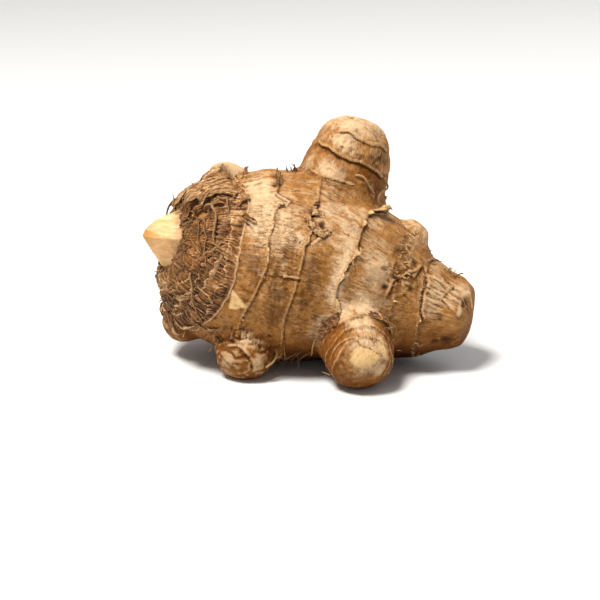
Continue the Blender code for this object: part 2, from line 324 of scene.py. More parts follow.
# ridges, torn edges and cracks that can be followed one by one: marks as fractions of the box, mm high,
# mm wide, mm of drop below it (above it when negative), how pale its crest is (partly a painted highlight),
# how dark the painted shadow at its foot is
skinLines = {
    "capTear": (((0.531, 0.521, 0.911), (0.541, 0.499, 0.905), (0.558, 0.479, 0.907), (0.572, 0.463, 0.893),
        (0.586, 0.452, 0.88), (0.623, 0.442, 0.859), (0.649, 0.448, 0.851), (0.683, 0.463, 0.82), (0.716,
        0.498, 0.773)), 0.36, 0.32, 0.5, 0.7, 1.0),
    "capCrease": (((0.598, 0.491, 0.969), (0.617, 0.49, 0.971), (0.646, 0.471, 0.944), (0.666, 0.472,
        0.929), (0.686, 0.479, 0.913), (0.71, 0.506, 0.905), (0.728, 0.536, 0.876)), 0.24, 0.5, 0.36, 0.4,
        0.8),
    "neckLine": (((0.472, 0.576, 0.795), (0.507, 0.474, 0.808), (0.529, 0.444, 0.797), (0.586, 0.417,
        0.783), (0.629, 0.415, 0.765)), 0.22, 0.3, 0.1, 0.6, 0.7),
    "frontLine": (((0.549, 0.122, 0.219), (0.571, 0.108, 0.253), (0.599, 0.106, 0.282), (0.626, 0.111,
        0.299), (0.655, 0.125, 0.308), (0.68, 0.149, 0.309)), -0.1, 0.3, 0.05, 0.0, 0.9),
    "frontTorn": (((0.683, 0.157, 0.312), (0.729, 0.183, 0.261), (0.741, 0.186, 0.215)), 0.35, 0.4, 0.5,
        0.4, 1.0),
    "frontSecond": (((0.565, 0.062, 0.16), (0.579, 0.059, 0.202), (0.603, 0.05, 0.23), (0.626, 0.048,
        0.243)), 0.08, 0.28, 0.16, 0.15, 0.9),
    "frontThird": (((0.639, 0.039, 0.239), (0.653, 0.021, 0.221), (0.675, 0.022, 0.213), (0.698, 0.025,
        0.191)), 0.1, 0.3, 0.18, 0.5, 0.8),
    "frontEdge": (((0.731, 0.114, 0.214), (0.736, 0.079, 0.178), (0.736, 0.063, 0.131), (0.719, 0.052,
        0.09)), 0.16, 0.36, 0.1, 0.3, 0.8),
    "leftCrack": (((0.298, 0.143, 0.141), (0.317, 0.136, 0.119), (0.33, 0.141, 0.075)), -0.3, 0.42, 0.1,
        0.0, 1.0),
    "leftRidge": (((0.264, 0.17, 0.159), (0.288, 0.16, 0.166), (0.305, 0.147, 0.154), (0.321, 0.139,
        0.129)), 0.4, 0.42, 0.3, 0.9, 0.8),
    "leftCrevice": (((0.226, 0.231, 0.145), (0.251, 0.197, 0.176), (0.276, 0.177, 0.18), (0.292, 0.175,
        0.188)), -0.45, 0.7, 0.2, 0.0, 1.0),
    "flapEdge": (((0.498, 0.235, 0.665), (0.511, 0.221, 0.641), (0.528, 0.215, 0.619), (0.544, 0.218,
        0.613), (0.557, 0.228, 0.622)), 0.5, 0.34, 0.4, 1.0, 1.0),
    "flapTail": (((0.528, 0.208, 0.607), (0.508, 0.189, 0.59)), 0.35, 0.34, 0.0, 0.9, 0.8),
    "curl": (((0.343, 0.18, 0.586), (0.359, 0.175, 0.583), (0.376, 0.18, 0.598)), 0.25, 0.3, 0.1, 0.9, 0.6),
    "tick": (((0.425, 0.134, 0.468), (0.468, 0.135, 0.46)), 0.36, 0.3, 0.3, 1.0, 1.0),
    "notch": (((0.398, 0.338, 0.753), (0.438, 0.306, 0.729), (0.428, 0.289, 0.717), (0.405, 0.29, 0.72)),
        0.22, 0.3, -0.1, 0.7, 0.6),
    "ringTop": (((0.406, 0.462, 0.792), (0.416, 0.422, 0.784), (0.398, 0.338, 0.753)), 0.3, 0.3, 0.0, 0.8,
        0.7),
    "lobeEdge": (((0.843, 0.307, 0.437), (0.853, 0.279, 0.397), (0.839, 0.244, 0.359), (0.83, 0.219, 0.294),
        (0.835, 0.217, 0.269)), 0.3, 0.42, 0.3, 0.6, 0.7),
    "lobeRibA": (((0.853, 0.279, 0.397), (0.91, 0.286, 0.344), (0.936, 0.274, 0.317)), 0.26, 0.5, 0.1, 0.8,
        0.4),
    "lobeRibB": (((0.844, 0.252, 0.369), (0.901, 0.263, 0.321), (0.926, 0.249, 0.283)), 0.24, 0.45, 0.1,
        0.8, 0.4),
    "lobeRibC": (((0.839, 0.234, 0.338), (0.865, 0.24, 0.317), (0.887, 0.25, 0.307)), 0.22, 0.4, 0.1, 0.7,
        0.4),
    "lobeRibD": (((0.854, 0.297, 0.416), (0.92, 0.309, 0.361)), 0.26, 0.45, 0.1, 0.8, 0.4),
    "lobeFold": (((0.907, 0.322, 0.382), (0.92, 0.309, 0.361), (0.897, 0.276, 0.342), (0.888, 0.258, 0.323),
        (0.905, 0.249, 0.295)), 0.1, 0.4, -0.3, 0.3, 0.7),
    "lobeCrest": (((0.973, 0.327, 0.33), (0.954, 0.298, 0.327), (0.947, 0.269, 0.3), (0.942, 0.251, 0.269)),
        0.42, 0.75, -0.08, 1.0, 0.1),
    "lobeTip": (((0.975, 0.325, 0.324), (0.982, 0.325, 0.292), (0.985, 0.334, 0.264)), 0.25, 0.45, 0.0, 0.8,
        0.1),
    "roughArc": (((0.735, 0.209, 0.384), (0.744, 0.224, 0.417), (0.792, 0.256, 0.442), (0.809, 0.269,
        0.444), (0.827, 0.295, 0.451)), 0.28, 0.6, 0.3, 0.3, 0.7),
    "roughBranch": (((0.796, 0.258, 0.442), (0.809, 0.257, 0.423), (0.827, 0.293, 0.448)), 0.2, 0.5, 0.25,
        0.2, 0.6),
}
# soft tones on knobs and collar, the pale ones partly painted highlights: place as fractions of the box, mm
# wide, strength
skinTones = {
    "pale": (((0.62, 0.52, 0.99), 3.4, 1.0), ((0.64, 0.5, 0.97), 3.2, 1.0), ((0.66, 0.5, 0.96), 2.2, 0.8),
        ((0.66, 0.57, 0.99), 3.0, 0.7), ((0.6, 0.47, 0.94), 3.2, 1.0), ((0.61, 0.45, 0.92), 3.0, 0.85),
        ((0.59, 0.48, 0.96), 2.6, 0.5), ((0.54, 0.45, 0.83), 2.4, 1.0), ((0.56, 0.44, 0.82), 2.8, 1.1),
        ((0.58, 0.43, 0.81), 2.6, 0.9), ((0.5, 0.52, 0.83), 3.0, 0.6), ((0.66, 0.16, 0.34), 4.6, 0.9),
        ((0.6, 0.14, 0.32), 3.4, 0.9), ((0.66, 0.09, 0.28), 4.0, 1.0), ((0.63, 0.1, 0.29), 3.0, 0.8),
        ((0.67, 0.06, 0.25), 2.4, 0.6), ((0.66, 0.02, 0.23), 3.4, 1.0), ((0.69, 0.02, 0.21), 2.6, 0.9),
        ((0.67, 0.01, 0.17), 5.6, 0.8), ((0.7, 0.06, 0.23), 2.2, 0.7), ((0.65, 0.01, 0.12), 1.5, 0.8),
        ((0.7, 0.02, 0.11), 2.0, 1.0), ((0.68, 0.01, 0.12), 1.6, 0.7), ((0.31, 0.17, 0.18), 2.4, 1.0),
        ((0.34, 0.16, 0.17), 2.0, 0.75), ((0.26, 0.15, 0.11), 1.9, 1.0), ((0.25, 0.17, 0.08), 1.4, 0.7),
        ((0.28, 0.15, 0.08), 1.2, 0.5), ((0.26, 0.19, 0.04), 1.8, 0.6), ((0.35, 0.15, 0.1), 2.3, 0.75),
        ((0.35, 0.15, 0.07), 1.8, 0.6), ((0.36, 0.27, 0.7), 5.6, 1.1), ((0.34, 0.31, 0.72), 4.4, 0.9),
        ((0.36, 0.22, 0.64), 4.2, 1.0), ((0.41, 0.21, 0.64), 4.0, 1.0), ((0.45, 0.19, 0.6), 3.6, 0.85),
        ((0.41, 0.3, 0.73), 2.0, 1.2), ((0.96, 0.33, 0.34), 3.0, 0.7)),
    "umber": (((0.54, 0.51, 0.93), 2.2, 0.5), ((0.53, 0.54, 0.92), 2.0, 0.5), ((0.59, 0.45, 0.9), 1.0, 0.9),
        ((0.62, 0.45, 0.89), 1.1, 1.0), ((0.64, 0.45, 0.88), 1.0, 0.9), ((0.7, 0.48, 0.84), 3.0, 0.6),
        ((0.72, 0.52, 0.86), 2.4, 0.7), ((0.64, 0.44, 0.83), 2.2, 0.5), ((0.69, 0.46, 0.78), 3.0, 0.7),
        ((0.61, 0.08, 0.26), 2.0, 0.6), ((0.71, 0.02, 0.15), 0.8, 1.2), ((0.68, 0.05, 0.24), 1.1, 0.8),
        ((0.6, 0.02, 0.18), 1.1, 0.9), ((0.59, 0.02, 0.14), 0.9, 1.1), ((0.67, 0.02, 0.09), 1.6, 1.0),
        ((0.56, 0.09, 0.18), 2.6, 0.8), ((0.58, 0.05, 0.12), 2.2, 0.8), ((0.62, 0.03, 0.06), 2.4, 0.8),
        ((0.24, 0.19, 0.14), 1.9, 0.9), ((0.26, 0.16, 0.14), 1.6, 1.0), ((0.28, 0.15, 0.14), 1.2, 0.8),
        ((0.33, 0.14, 0.07), 1.2, 0.9), ((0.37, 0.17, 0.14), 2.4, 1.0), ((0.38, 0.19, 0.12), 2.2, 1.0),
        ((0.23, 0.19, 0.09), 1.4, 0.9), ((0.53, 0.24, 0.65), 1.6, 0.5), ((0.51, 0.29, 0.7), 1.5, 1.2),
        ((0.53, 0.3, 0.7), 2.6, 0.7), ((0.4, 0.44, 0.79), 1.6, 1.0), ((0.4, 0.4, 0.78), 1.5, 0.8), ((0.38,
        0.16, 0.55), 1.3, 1.0), ((0.4, 0.15, 0.54), 1.2, 0.9), ((0.8, 0.23, 0.4), 3.0, 0.6), ((0.85, 0.21,
        0.3), 2.6, 0.5), ((0.96, 0.3, 0.3), 1.1, 0.9), ((0.96, 0.31, 0.28), 0.9, 0.8)),
    "warm": (((0.67, 0.45, 0.81), 3.6, 1.0), ((0.63, 0.44, 0.85), 2.2, 0.5), ((0.7, 0.47, 0.74), 3.4, 1.0),
        ((0.67, 0.54, 0.97), 1.6, 0.5), ((0.48, 0.57, 0.83), 2.4, 0.6), ((0.64, 0.01, 0.15), 4.0, 0.5),
        ((0.28, 0.15, 0.06), 2.0, 0.9), ((0.31, 0.15, 0.07), 2.2, 0.9)),
}
# outlines of bare flesh on the front knob, as fractions of the box across and up
bareOutlines = (
    ((0.619, 0.16), (0.622, 0.184), (0.636, 0.204), (0.654, 0.213), (0.693, 0.199), (0.702, 0.181), (0.699,
        0.158), (0.682, 0.137), (0.653, 0.129), (0.627, 0.138)),
    ((0.706, 0.188), (0.704, 0.216), (0.716, 0.222), (0.728, 0.19), (0.733, 0.142), (0.719, 0.146)),
)
# ring marks on each knob as (degrees around it, share of its reach), papery side +1 towards the tip
knobRings = {
    "topMid": {"knob": "top", "marks": ((-160, 0.62), (-90, 0.6), (-20, 0.52), (33, 0.55), (49, 0.62), (71,
        0.65), (95, 0.66), (117, 0.69), (149, 0.7), (170, 0.67)), "lip": 0.1, "side": 1, "swell": 0.32},
    "topBase": {"knob": "top", "marks": ((-170, 0.38), (-90, 0.34), (0, 0.34), (39, 0.39), (74, 0.42), (110,
        0.42), (134, 0.43), (168, 0.4)), "lip": 0.06, "side": -1, "swell": 0.0},
    "frontCrease": {"knob": "front", "marks": ((-150, 0.45), (-60, 0.5), (12, 0.5), (40, 0.48), (58, 0.44),
        (77, 0.42), (95, 0.39), (112, 0.36), (126, 0.4), (139, 0.5), (170, 0.5)), "lip": 0.12, "side": -1,
        "swell": 0.1},
    "frontSecond": {"knob": "front", "marks": ((-150, 0.62), (-60, 0.66), (30, 0.64), (60, 0.58), (95,
        0.55), (130, 0.58), (170, 0.64)), "lip": 0.16, "side": -1, "swell": 0.05},
    "frontTip": {"knob": "front", "marks": ((-150, 0.78), (-60, 0.8), (30, 0.83), (60, 0.75), (95, 0.7),
        (130, 0.73), (170, 0.79)), "lip": 0.15, "side": -1, "swell": 0.0},
    "leftFirst": {"knob": "left", "marks": ((-150, 0.5), (-60, 0.5), (40, 0.61), (88, 0.64), (136, 0.59),
        (170, 0.55)), "lip": 0.12, "side": -1, "swell": 0.1},
    "leftSecond": {"knob": "left", "marks": ((-150, 0.8), (-60, 0.8), (40, 0.8), (88, 0.84), (136, 0.8),
        (170, 0.8)), "lip": 0.08, "side": -1, "swell": 0.0},
    "backFirst": {"knob": "back", "marks": ((-150, 0.42), (-40, 0.46), (60, 0.4), (150, 0.44)), "lip": 0.35,
        "side": -1, "swell": 0.1},
    "backSecond": {"knob": "back", "marks": ((-150, 0.72), (-40, 0.68), (60, 0.74), (150, 0.7)), "lip": 0.3,
        "side": 1, "swell": 0.3},
    "footFirst": {"knob": "backFoot", "marks": ((-150, 0.45), (-40, 0.5), (60, 0.45), (150, 0.48)),
        "lip": 0.32, "side": -1, "swell": 0.1},
    "footSecond": {"knob": "backFoot", "marks": ((-150, 0.72), (-40, 0.7), (60, 0.75), (150, 0.7)),
        "lip": 0.22, "side": -1, "swell": 0.0},
    "budRing": {"knob": "topBud", "marks": ((-150, 0.45), (-40, 0.5), (60, 0.45), (150, 0.48)), "lip": 0.25,
        "side": -1, "swell": 0.1},
    "backBudRing": {"knob": "backBud", "marks": ((-150, 0.45), (-40, 0.5), (60, 0.45), (150, 0.48)),
        "lip": 0.25, "side": -1, "swell": 0.1},
}


def knobRingAt(name, knobTurn):
    marks = knobRings[name]["marks"]
    circle = onCircle(np.radians(knobTurn), 3.2, marks[1][0] * 0.1)
    return ringFromMarks(marks, knobTurn, circle, len(name), 0.022)


def applied(item):  # bake the modifiers into the mesh
    mesh = bpy.data.meshes.new_from_object(item.evaluated_get(bpy.context.evaluated_depsgraph_get()))
    item.modifiers.clear()
    old = item.data
    item.data = mesh
    bpy.data.meshes.remove(old)
    return item


def softCopy():  # an even, softened copy of the solid
    item = bpy.data.objects.new("tuberSkin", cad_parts["tuber"].data.copy())
    scene.collection.objects.link(item)
    item.data.materials.clear()
    remesh = item.modifiers.new("evenMesh", "REMESH")
    remesh.mode = "VOXEL"
    remesh.voxel_size = skinPlan["voxel"]
    smooth = item.modifiers.new("softSkin", "SMOOTH")
    smooth.factor = 0.5
    smooth.iterations = skinPlan["smoothPasses"]
    return applied(item)


def readPoints(mesh):
    flat = np.empty(len(mesh.vertices) * 3)
    mesh.vertices.foreach_get("co", flat)
    return flat.reshape(-1, 3)


def readNormals(mesh):
    flat = np.empty(len(mesh.vertices) * 3)
    mesh.vertex_normals.foreach_get("vector", flat)
    return flat.reshape(-1, 3)


def writePoints(mesh, points):
    mesh.vertices.foreach_set("co", (points * mm).ravel())
    mesh.update()


def setMask(mesh, name, values):
    layer = mesh.attributes.new(name, "FLOAT", "POINT")
    layer.data.foreach_set("value", np.clip(values, 0, 1).astype(np.float32))


def setPlace(mesh, name, values):
    layer = mesh.attributes.new(name, "FLOAT_VECTOR", "POINT")
    layer.data.foreach_set("vector", values.astype(np.float32).ravel())


def smoothShade(mesh):
    mesh.polygons.foreach_set("use_smooth", [True] * len(mesh.polygons))


def edgeMean(mesh, values, passes):  # spread values along the mesh's edges
    edges = np.empty(len(mesh.edges) * 2, dtype=np.int64)
    mesh.edges.foreach_get("vertices", edges)
    left, right = edges.reshape(-1, 2).T
    count = np.bincount(edges, minlength=len(values))[:, None]
    for _ in range(passes):
        total = np.stack([np.bincount(left, column[right], len(values))
                          + np.bincount(right, column[left], len(values))
                          for column in values.T], axis=1)
        values = 0.5 * values + 0.5 * total / np.maximum(count, 1)
    return values


def hollowness(mesh, points, passes, gain):  # 0.5 on flat skin, 1 in creases, 0 on ridges
    blurred = edgeMean(mesh, points, passes)
    return np.clip(0.5 + ((blurred - points) * readNormals(mesh)).sum(axis=1) * gain, 0, 1)


def distanceTo(points, place):  # mm from a place in the box
    return np.linalg.norm(points - spotIn(place), axis=1)


def spotSum(spots, along, around):
    total = np.zeros(len(along))
    for place, turn, length, width, strength in spots:
        patch = strength * bump(along, place, length) * bump(degreesApart(around, turn), 0, width)
        total = np.maximum(total, patch)
    return total


def toneSum(name, points):
    total = np.zeros(len(points))
    for place, size, strength in skinTones[name]:
        total = np.maximum(total, strength * bump(distanceTo(points, place), 0, size))
    return total


def lineGap(points, normals, marks):  # which points lie near a line of marks, and how far below it they are
    spots = np.array([spotIn(mark) for mark in marks])
    middle = spots.mean(axis=0)
    reach = np.linalg.norm(spots - middle, axis=1).max() + 4.0
    near = np.nonzero(np.linalg.norm(points - middle, axis=1) < reach)[0]
    part, facing = points[near], normals[near]
    gap = np.full(len(part), 99.0)
    for first, second in zip(spots[:-1], spots[1:]):
        way = second - first
        share = np.clip(((part - first) @ way) / (way @ way), 0, 1)
        away = part - first - share[:, None] * way
        far = np.linalg.norm(away, axis=1)
        sign = np.where((np.cross(way, facing) * away).sum(axis=1) < 0, -1.0, 1.0)
        gap = np.where(far < np.abs(gap), far * sign, gap)
    return near, gap


def outlineDepth(spots, outline):  # mm inside a closed outline, below 0 outside it
    inside = np.zeros(len(spots), dtype=bool)
    near = np.full(len(spots), 99.0)
    for first, second in zip(outline, np.roll(outline, -1, axis=0)):
        way = second - first
        share = np.clip(((spots - first) @ way) / (way @ way), 0, 1)
        near = np.minimum(near, np.linalg.norm(spots - first - share[:, None] * way, axis=1))
        crosses = (first[1] > spots[:, 1]) != (second[1] > spots[:, 1])
        rise = way[1] if abs(way[1]) > 1e-9 else 1e-9
        inside ^= crosses & (spots[:, 0] < first[0] + (spots[:, 1] - first[1]) * way[0] / rise)
    return np.where(inside, near, -near)


def nearKnob(knob, away):  # fades out past a knob's own skin
    return 1 - step(away, knob["radius"] * 1.12, knob["radius"] * 1.3 + 0.6)


def readBody(mesh):  # every point's place on the body, its noise, and which limb it belongs to
    at = SimpleNamespace(points=readPoints(mesh) / mm, normals=readNormals(mesh), knobMask={}, knobAt={})
    at.along, at.around, at.out = bodyPlace(at.points)
    at.turn = np.radians(at.around)
    at.grain = layered(at.points / 1.6, 12, 3)
    at.blotch = layered(at.points / 7.0, 21, 3)
    spin = np.where(at.along > 30.0, 12.5, 19.0)  # streaks keep to one meridian where the body tapers
    at.growth = np.stack([at.along, spin * np.cos(at.turn), spin * np.sin(at.turn)], axis=1)
    offBody = np.zeros(len(at.points))
    for name, knob in knobs.items():
        reach, away, knobTurn, reachMm = knobPlace(at.points, name)
        start = 0.28 if knob["radius"] > 6 else 0.15
        mask = step(reach, start, start + 0.22) * nearKnob(knob, away)
        at.knobMask[name] = mask
        at.knobAt[name] = (reach, away, knobTurn, reachMm)
        rim = knob["radius"] * 0.8
        wide = rim + (np.minimum(away, knob["radius"]) - rim) * step(reach, 0.65, 1.0)
        spun = np.radians(knobTurn)
        turned = np.stack([reachMm, wide * np.cos(spun) + 40, wide * np.sin(spun) + 40], axis=1)
        at.growth = np.where((mask > 0.5)[:, None], turned, at.growth)
        offBody = np.maximum(offBody, mask)
    at.offBody = offBody
    at.onBody = 1 - offBody
    at.pastCollar = at.along - ringAlong("collarRim", at.around)
    at.collar = step(-at.pastCollar, 0.0, 1.0) * (1 - offBody * (1 - at.knobMask["lowBud"] * 0.4))
    at.lift = np.zeros(len(at.points))
    return at


def liftBody(at):  # broad dents, small lumps, fine ribs along the growth, a ribbed far lobe
    plan = skinPlan
    dents = layered(at.points / plan["dentSize"], 1, 2) * plan["dentDepth"]
    at.lift += dents + layered(at.points / plan["lumpSize"], 2, 2) * plan["lumpDepth"]
    bent = 0.4 * at.blotch[:, None]
    ribSize = np.array([plan["ribLength"], plan["ribWidth"], plan["ribWidth"]])
    ribs = layered(at.growth / ribSize + bent, 3, 2)
    nearRim = bump(at.pastCollar, 3.0, 4.0) * at.onBody
    at.lift += ribs * plan["ribHeight"] * (0.8 + 1.0 * nearRim - 0.6 * at.offBody)
    lobe = step(at.along, 29.5, 32) * (1 - step(at.along, 37, 40)) * at.onBody
    folds = 2 * np.abs(waves(at.growth / np.array([8.0, 1.5, 1.5]) + bent, 8)) - 0.4
    at.lift += lobe * folds * step(at.around, -12, 15) * plan["lobeRib"]


def liftScars(at):  # scale scars: a torn lip, a step down beyond it, and a slow rise up to it
    plan = skinPlan
    at.scarLine, at.scarShade, at.freshSide = np.zeros((3, len(at.points)))
    for name, ring in scarRings.items():
        away = at.along - ringAlong(name, at.around)
        strong = at.onBody * ring["strength"]
        tear = layered(onCircle(at.turn, 9, ring["strength"] * 9), 5, 3)
        ragged = np.clip(0.35 + 2.4 * tear, 0.0, 1.6)
        at.lift += strong * ragged * plan["lipHeight"] * bump(away, -0.25, plan["lipWidth"])
        at.lift -= strong * plan["stepDepth"] * step(away, -0.05, 0.35) * np.exp(-np.maximum(away, 0) / 2.2)
        at.lift += strong * 0.12 * (1 - step(away, -0.3, 0.1)) * np.exp(np.minimum(away, 0) / 2.5)
        at.scarLine = np.maximum(at.scarLine, strong * bump(away, -0.3, 0.36) * ragged)
        at.scarShade = np.maximum(at.scarShade, strong * bump(away, 0.45, 0.55) * (0.3 + 0.7 * ragged))
        at.freshSide = np.maximum(at.freshSide, at.onBody * bump(away, 2.0, 2.4))
    at.scarLine *= 0.30 + 0.70 * step(at.blotch + 0.6 * at.grain, -0.5, 0.45)

    # rough brown zone on the upper right, with little crumples across the growth
    front = bump(at.along, 24.3, 4.0) * bump(at.around, 48, 38)
    behind = bump(at.along, 27, 4) * bump(degreesApart(at.around, 190), 0, 60)
    at.rough = np.maximum(front, 0.6 * behind) * at.onBody * step(at.blotch + 0.3 * at.grain, -0.35, 0.15)
    crumple = creased(layered(at.growth / np.array([1.9, 3.0, 3.0]) + 0.5 * at.blotch[:, None], 9, 2))
    at.lift += at.rough * (crumple - 0.4) * plan["roughFold"]


def liftKnobs(at):  # knobs: scale rings, swollen caps and wrinkles
    for name, ring in knobRings.items():
        knob = knobs[ring["knob"]]
        reach, away, knobTurn, reachMm = at.knobAt[ring["knob"]]
        length = float(np.median(reachMm[reach > 0.3] / reach[reach > 0.3]))
        past = (reach - knobRingAt(name, knobTurn)) * length * ring["side"]
        mask = step(reach, 0.2, 0.34) * nearKnob(knob, away)
        tear = layered(onCircle(np.radians(knobTurn), 7, length), 5, 3)
        ragged = np.clip(0.8 + 0.9 * tear, 0.15, 1.6)
        lip = ring["lip"] * ragged * bump(past, 0.35, 0.4) - ring["lip"] * 0.5 * bump(past, -0.45, 0.5)
        at.lift += mask * (lip + ring["swell"] * step(past, -0.1, 0.9) * np.exp(-np.maximum(past, 0) / 7.0))
        pale = mask * min(1.0, ring["lip"] * 2.6) * ragged * bump(past, 0.3, 0.4)
        shade = mask * min(1.0, ring["lip"] * 2.8) * bump(past, -0.45, 0.5) * (0.4 + 0.6 * ragged)
        at.scarLine = np.maximum(at.scarLine, pale)
        at.scarShade = np.maximum(at.scarShade, shade)
    bent = 0.16 * at.grain[:, None] + 0.5 * at.blotch[:, None]
    wrinkle = np.minimum(2 * np.abs(waves(at.points / np.array([5.5, 5.5, 4.2]) + bent, 15)), 0.7) - 0.4
    for name in knobs:
        at.lift += at.knobMask[name] * wrinkle * skinPlan["wrinkle"].get(name, skinPlan["plainWrinkle"])
    at.lift += at.knobMask["top"] * 0.55 * waves(at.points / 6.0, 61)
    at.lift += at.offBody * 0.10 * waves(at.points / 1.5, 62)


def liftLines(at):  # torn edges, cracks and ridges from the table
    at.tonePale, at.toneDark = np.zeros((2, len(at.points)))
    for marks, high, wide, drop, paleness, darkness in skinLines.values():
        near, past = lineGap(at.points, at.normals, marks)
        past = past + 0.12 * at.grain[near]
        broken = np.clip(0.85 + 0.7 * at.blotch[near] + 0.5 * at.grain[near], 0.25, 1.3)
        crest = bump(past, -0.15, wide) * broken
        if drop >= 0:
            below = step(past, 0.0, 0.3) * np.exp(-np.maximum(past, 0) / 1.3) * np.exp(-np.maximum(-past, 0))
            foot = bump(past, 0.42, 0.36)
        else:
            below = step(-past, 0.0, 0.3) * np.exp(-np.maximum(-past, 0) / 1.3)
            foot = bump(past, -0.72, 0.36)
        if high < 0:  # a crack gets painted shade along its own line too
            foot = np.maximum(foot, bump(past, 0, wide * 0.8))
        at.lift[near] += high * crest - abs(drop) * below
        # crests are painted paler, partly as a highlight; the foot of each edge gets a painted shadow
        at.tonePale[near] = np.maximum(at.tonePale[near], paleness * crest)
        at.toneDark[near] = np.maximum(at.toneDark[near], darkness * foot * broken)


def liftHollows(at):  # pits, the hollow under the collar's loose top sheet, and the seat of the stub
    at.pit = np.zeros(len(at.points))
    for place, pitTurn, size, depth, darkness in pits:
        sideways = np.radians(degreesApart(at.around, pitTurn)) * at.out
        away = np.hypot(at.along - place, sideways) * (1 + 0.3 * at.grain)
        at.lift -= depth * bump(away, 0, size) * at.onBody
        # painted shade inside each pit
        at.pit = np.maximum(at.pit, darkness * bump(away, 0, size * 0.8) * at.onBody)
    at.cavity = bump(at.along, -32.6, 2.4) * bump(degreesApart(at.around, 72), 0, 15)
    stemSeat = step(-at.along, 35.5, 36.8) * (1 - step(distanceTo(at.points, (0.06, 0.45, 0.53)), 8.0, 11.0))
    at.lift -= at.collar * skinPlan["collarSink"] + at.cavity * skinPlan["cavityDepth"]
    at.lift -= stemSeat * skinPlan["stemSink"]
    reach, _, knobTurn, _ = at.knobAt["collarBud"]
    budHollow = at.knobMask["collarBud"] * bump(knobTurn, 100, 40) * bump(reach, 0.75, 0.3)
    at.lift -= budHollow * skinPlan["budHollow"]
    # painted shade in the hollow under the top sheet and in the hollow beside the collar bud
    at.pit = np.maximum(at.pit, np.maximum(at.cavity * step(at.around, 60, 72), budHollow))


def growBuds(at, moved):  # buds stand out along their own line
    for name, grow in budGrowth.items():
        root, _, way, _, _ = knobFrame(name)
        reach, away, _, _ = at.knobAt[name]
        swell = step(reach, 0.05, 0.85) * (1 - step(away, grow["width"] * 0.55, grow["width"] * 1.25))
        moved += way * (grow["height"] * swell)[:, None]
        flat = (at.points - root) - ((at.points - root) @ way)[:, None] * way
        fade = 1 - step(away, grow["width"] * 0.8, grow["width"] * 1.5)
        widen = grow["spread"] * bump(reach, 0.9, 0.5) * fade
        moved += flat / np.maximum(away, 0.5)[:, None] * widen[:, None]


def bareMask(at):  # skin rubbed down to the flesh on the front knob, the back knobs and beside the collar
    points = at.points
    bare = np.zeros(len(points))
    facingOut = step(-points[:, 1], 26.0, 27.0)
    for outline in bareOutlines:
        corners = [(lowCorner.x + boxSize.x * across, lowCorner.z + boxSize.z * up) for across, up in outline]
        depth = outlineDepth(points[:, [0, 2]], np.array(corners) / mm) + 0.10 * at.grain
        bare = np.maximum(bare, facingOut * step(depth + 0.45 * at.blotch + 0.25 * at.grain, -0.45, 0.55))
        at.umber = np.maximum(at.umber, facingOut * (0.45 + 0.5 * at.blotch) * bump(depth, -0.65, 0.40))
    for name, strength in (("backFoot", 0.3 + 0.5 * at.blotch), ("backBud", 0.3)):
        cap = step(at.knobAt[name][0] + 0.2 * at.grain, 0.8, 0.9)
        bare = np.maximum(bare, at.knobMask[name] * cap * strength)
    mmPerDegree = 0.38
    corners = np.array([(-25.6, -5.0), (-25.4, -21.5), (-19.0, -15.0)]) * (1, mmPerDegree)  # a torn triangle
    inside = outlineDepth(np.stack([at.along, at.around * mmPerDegree], axis=1), corners)
    return np.maximum(bare, step(inside + 0.15 * at.grain, -0.1, 0.25) * at.onBody)


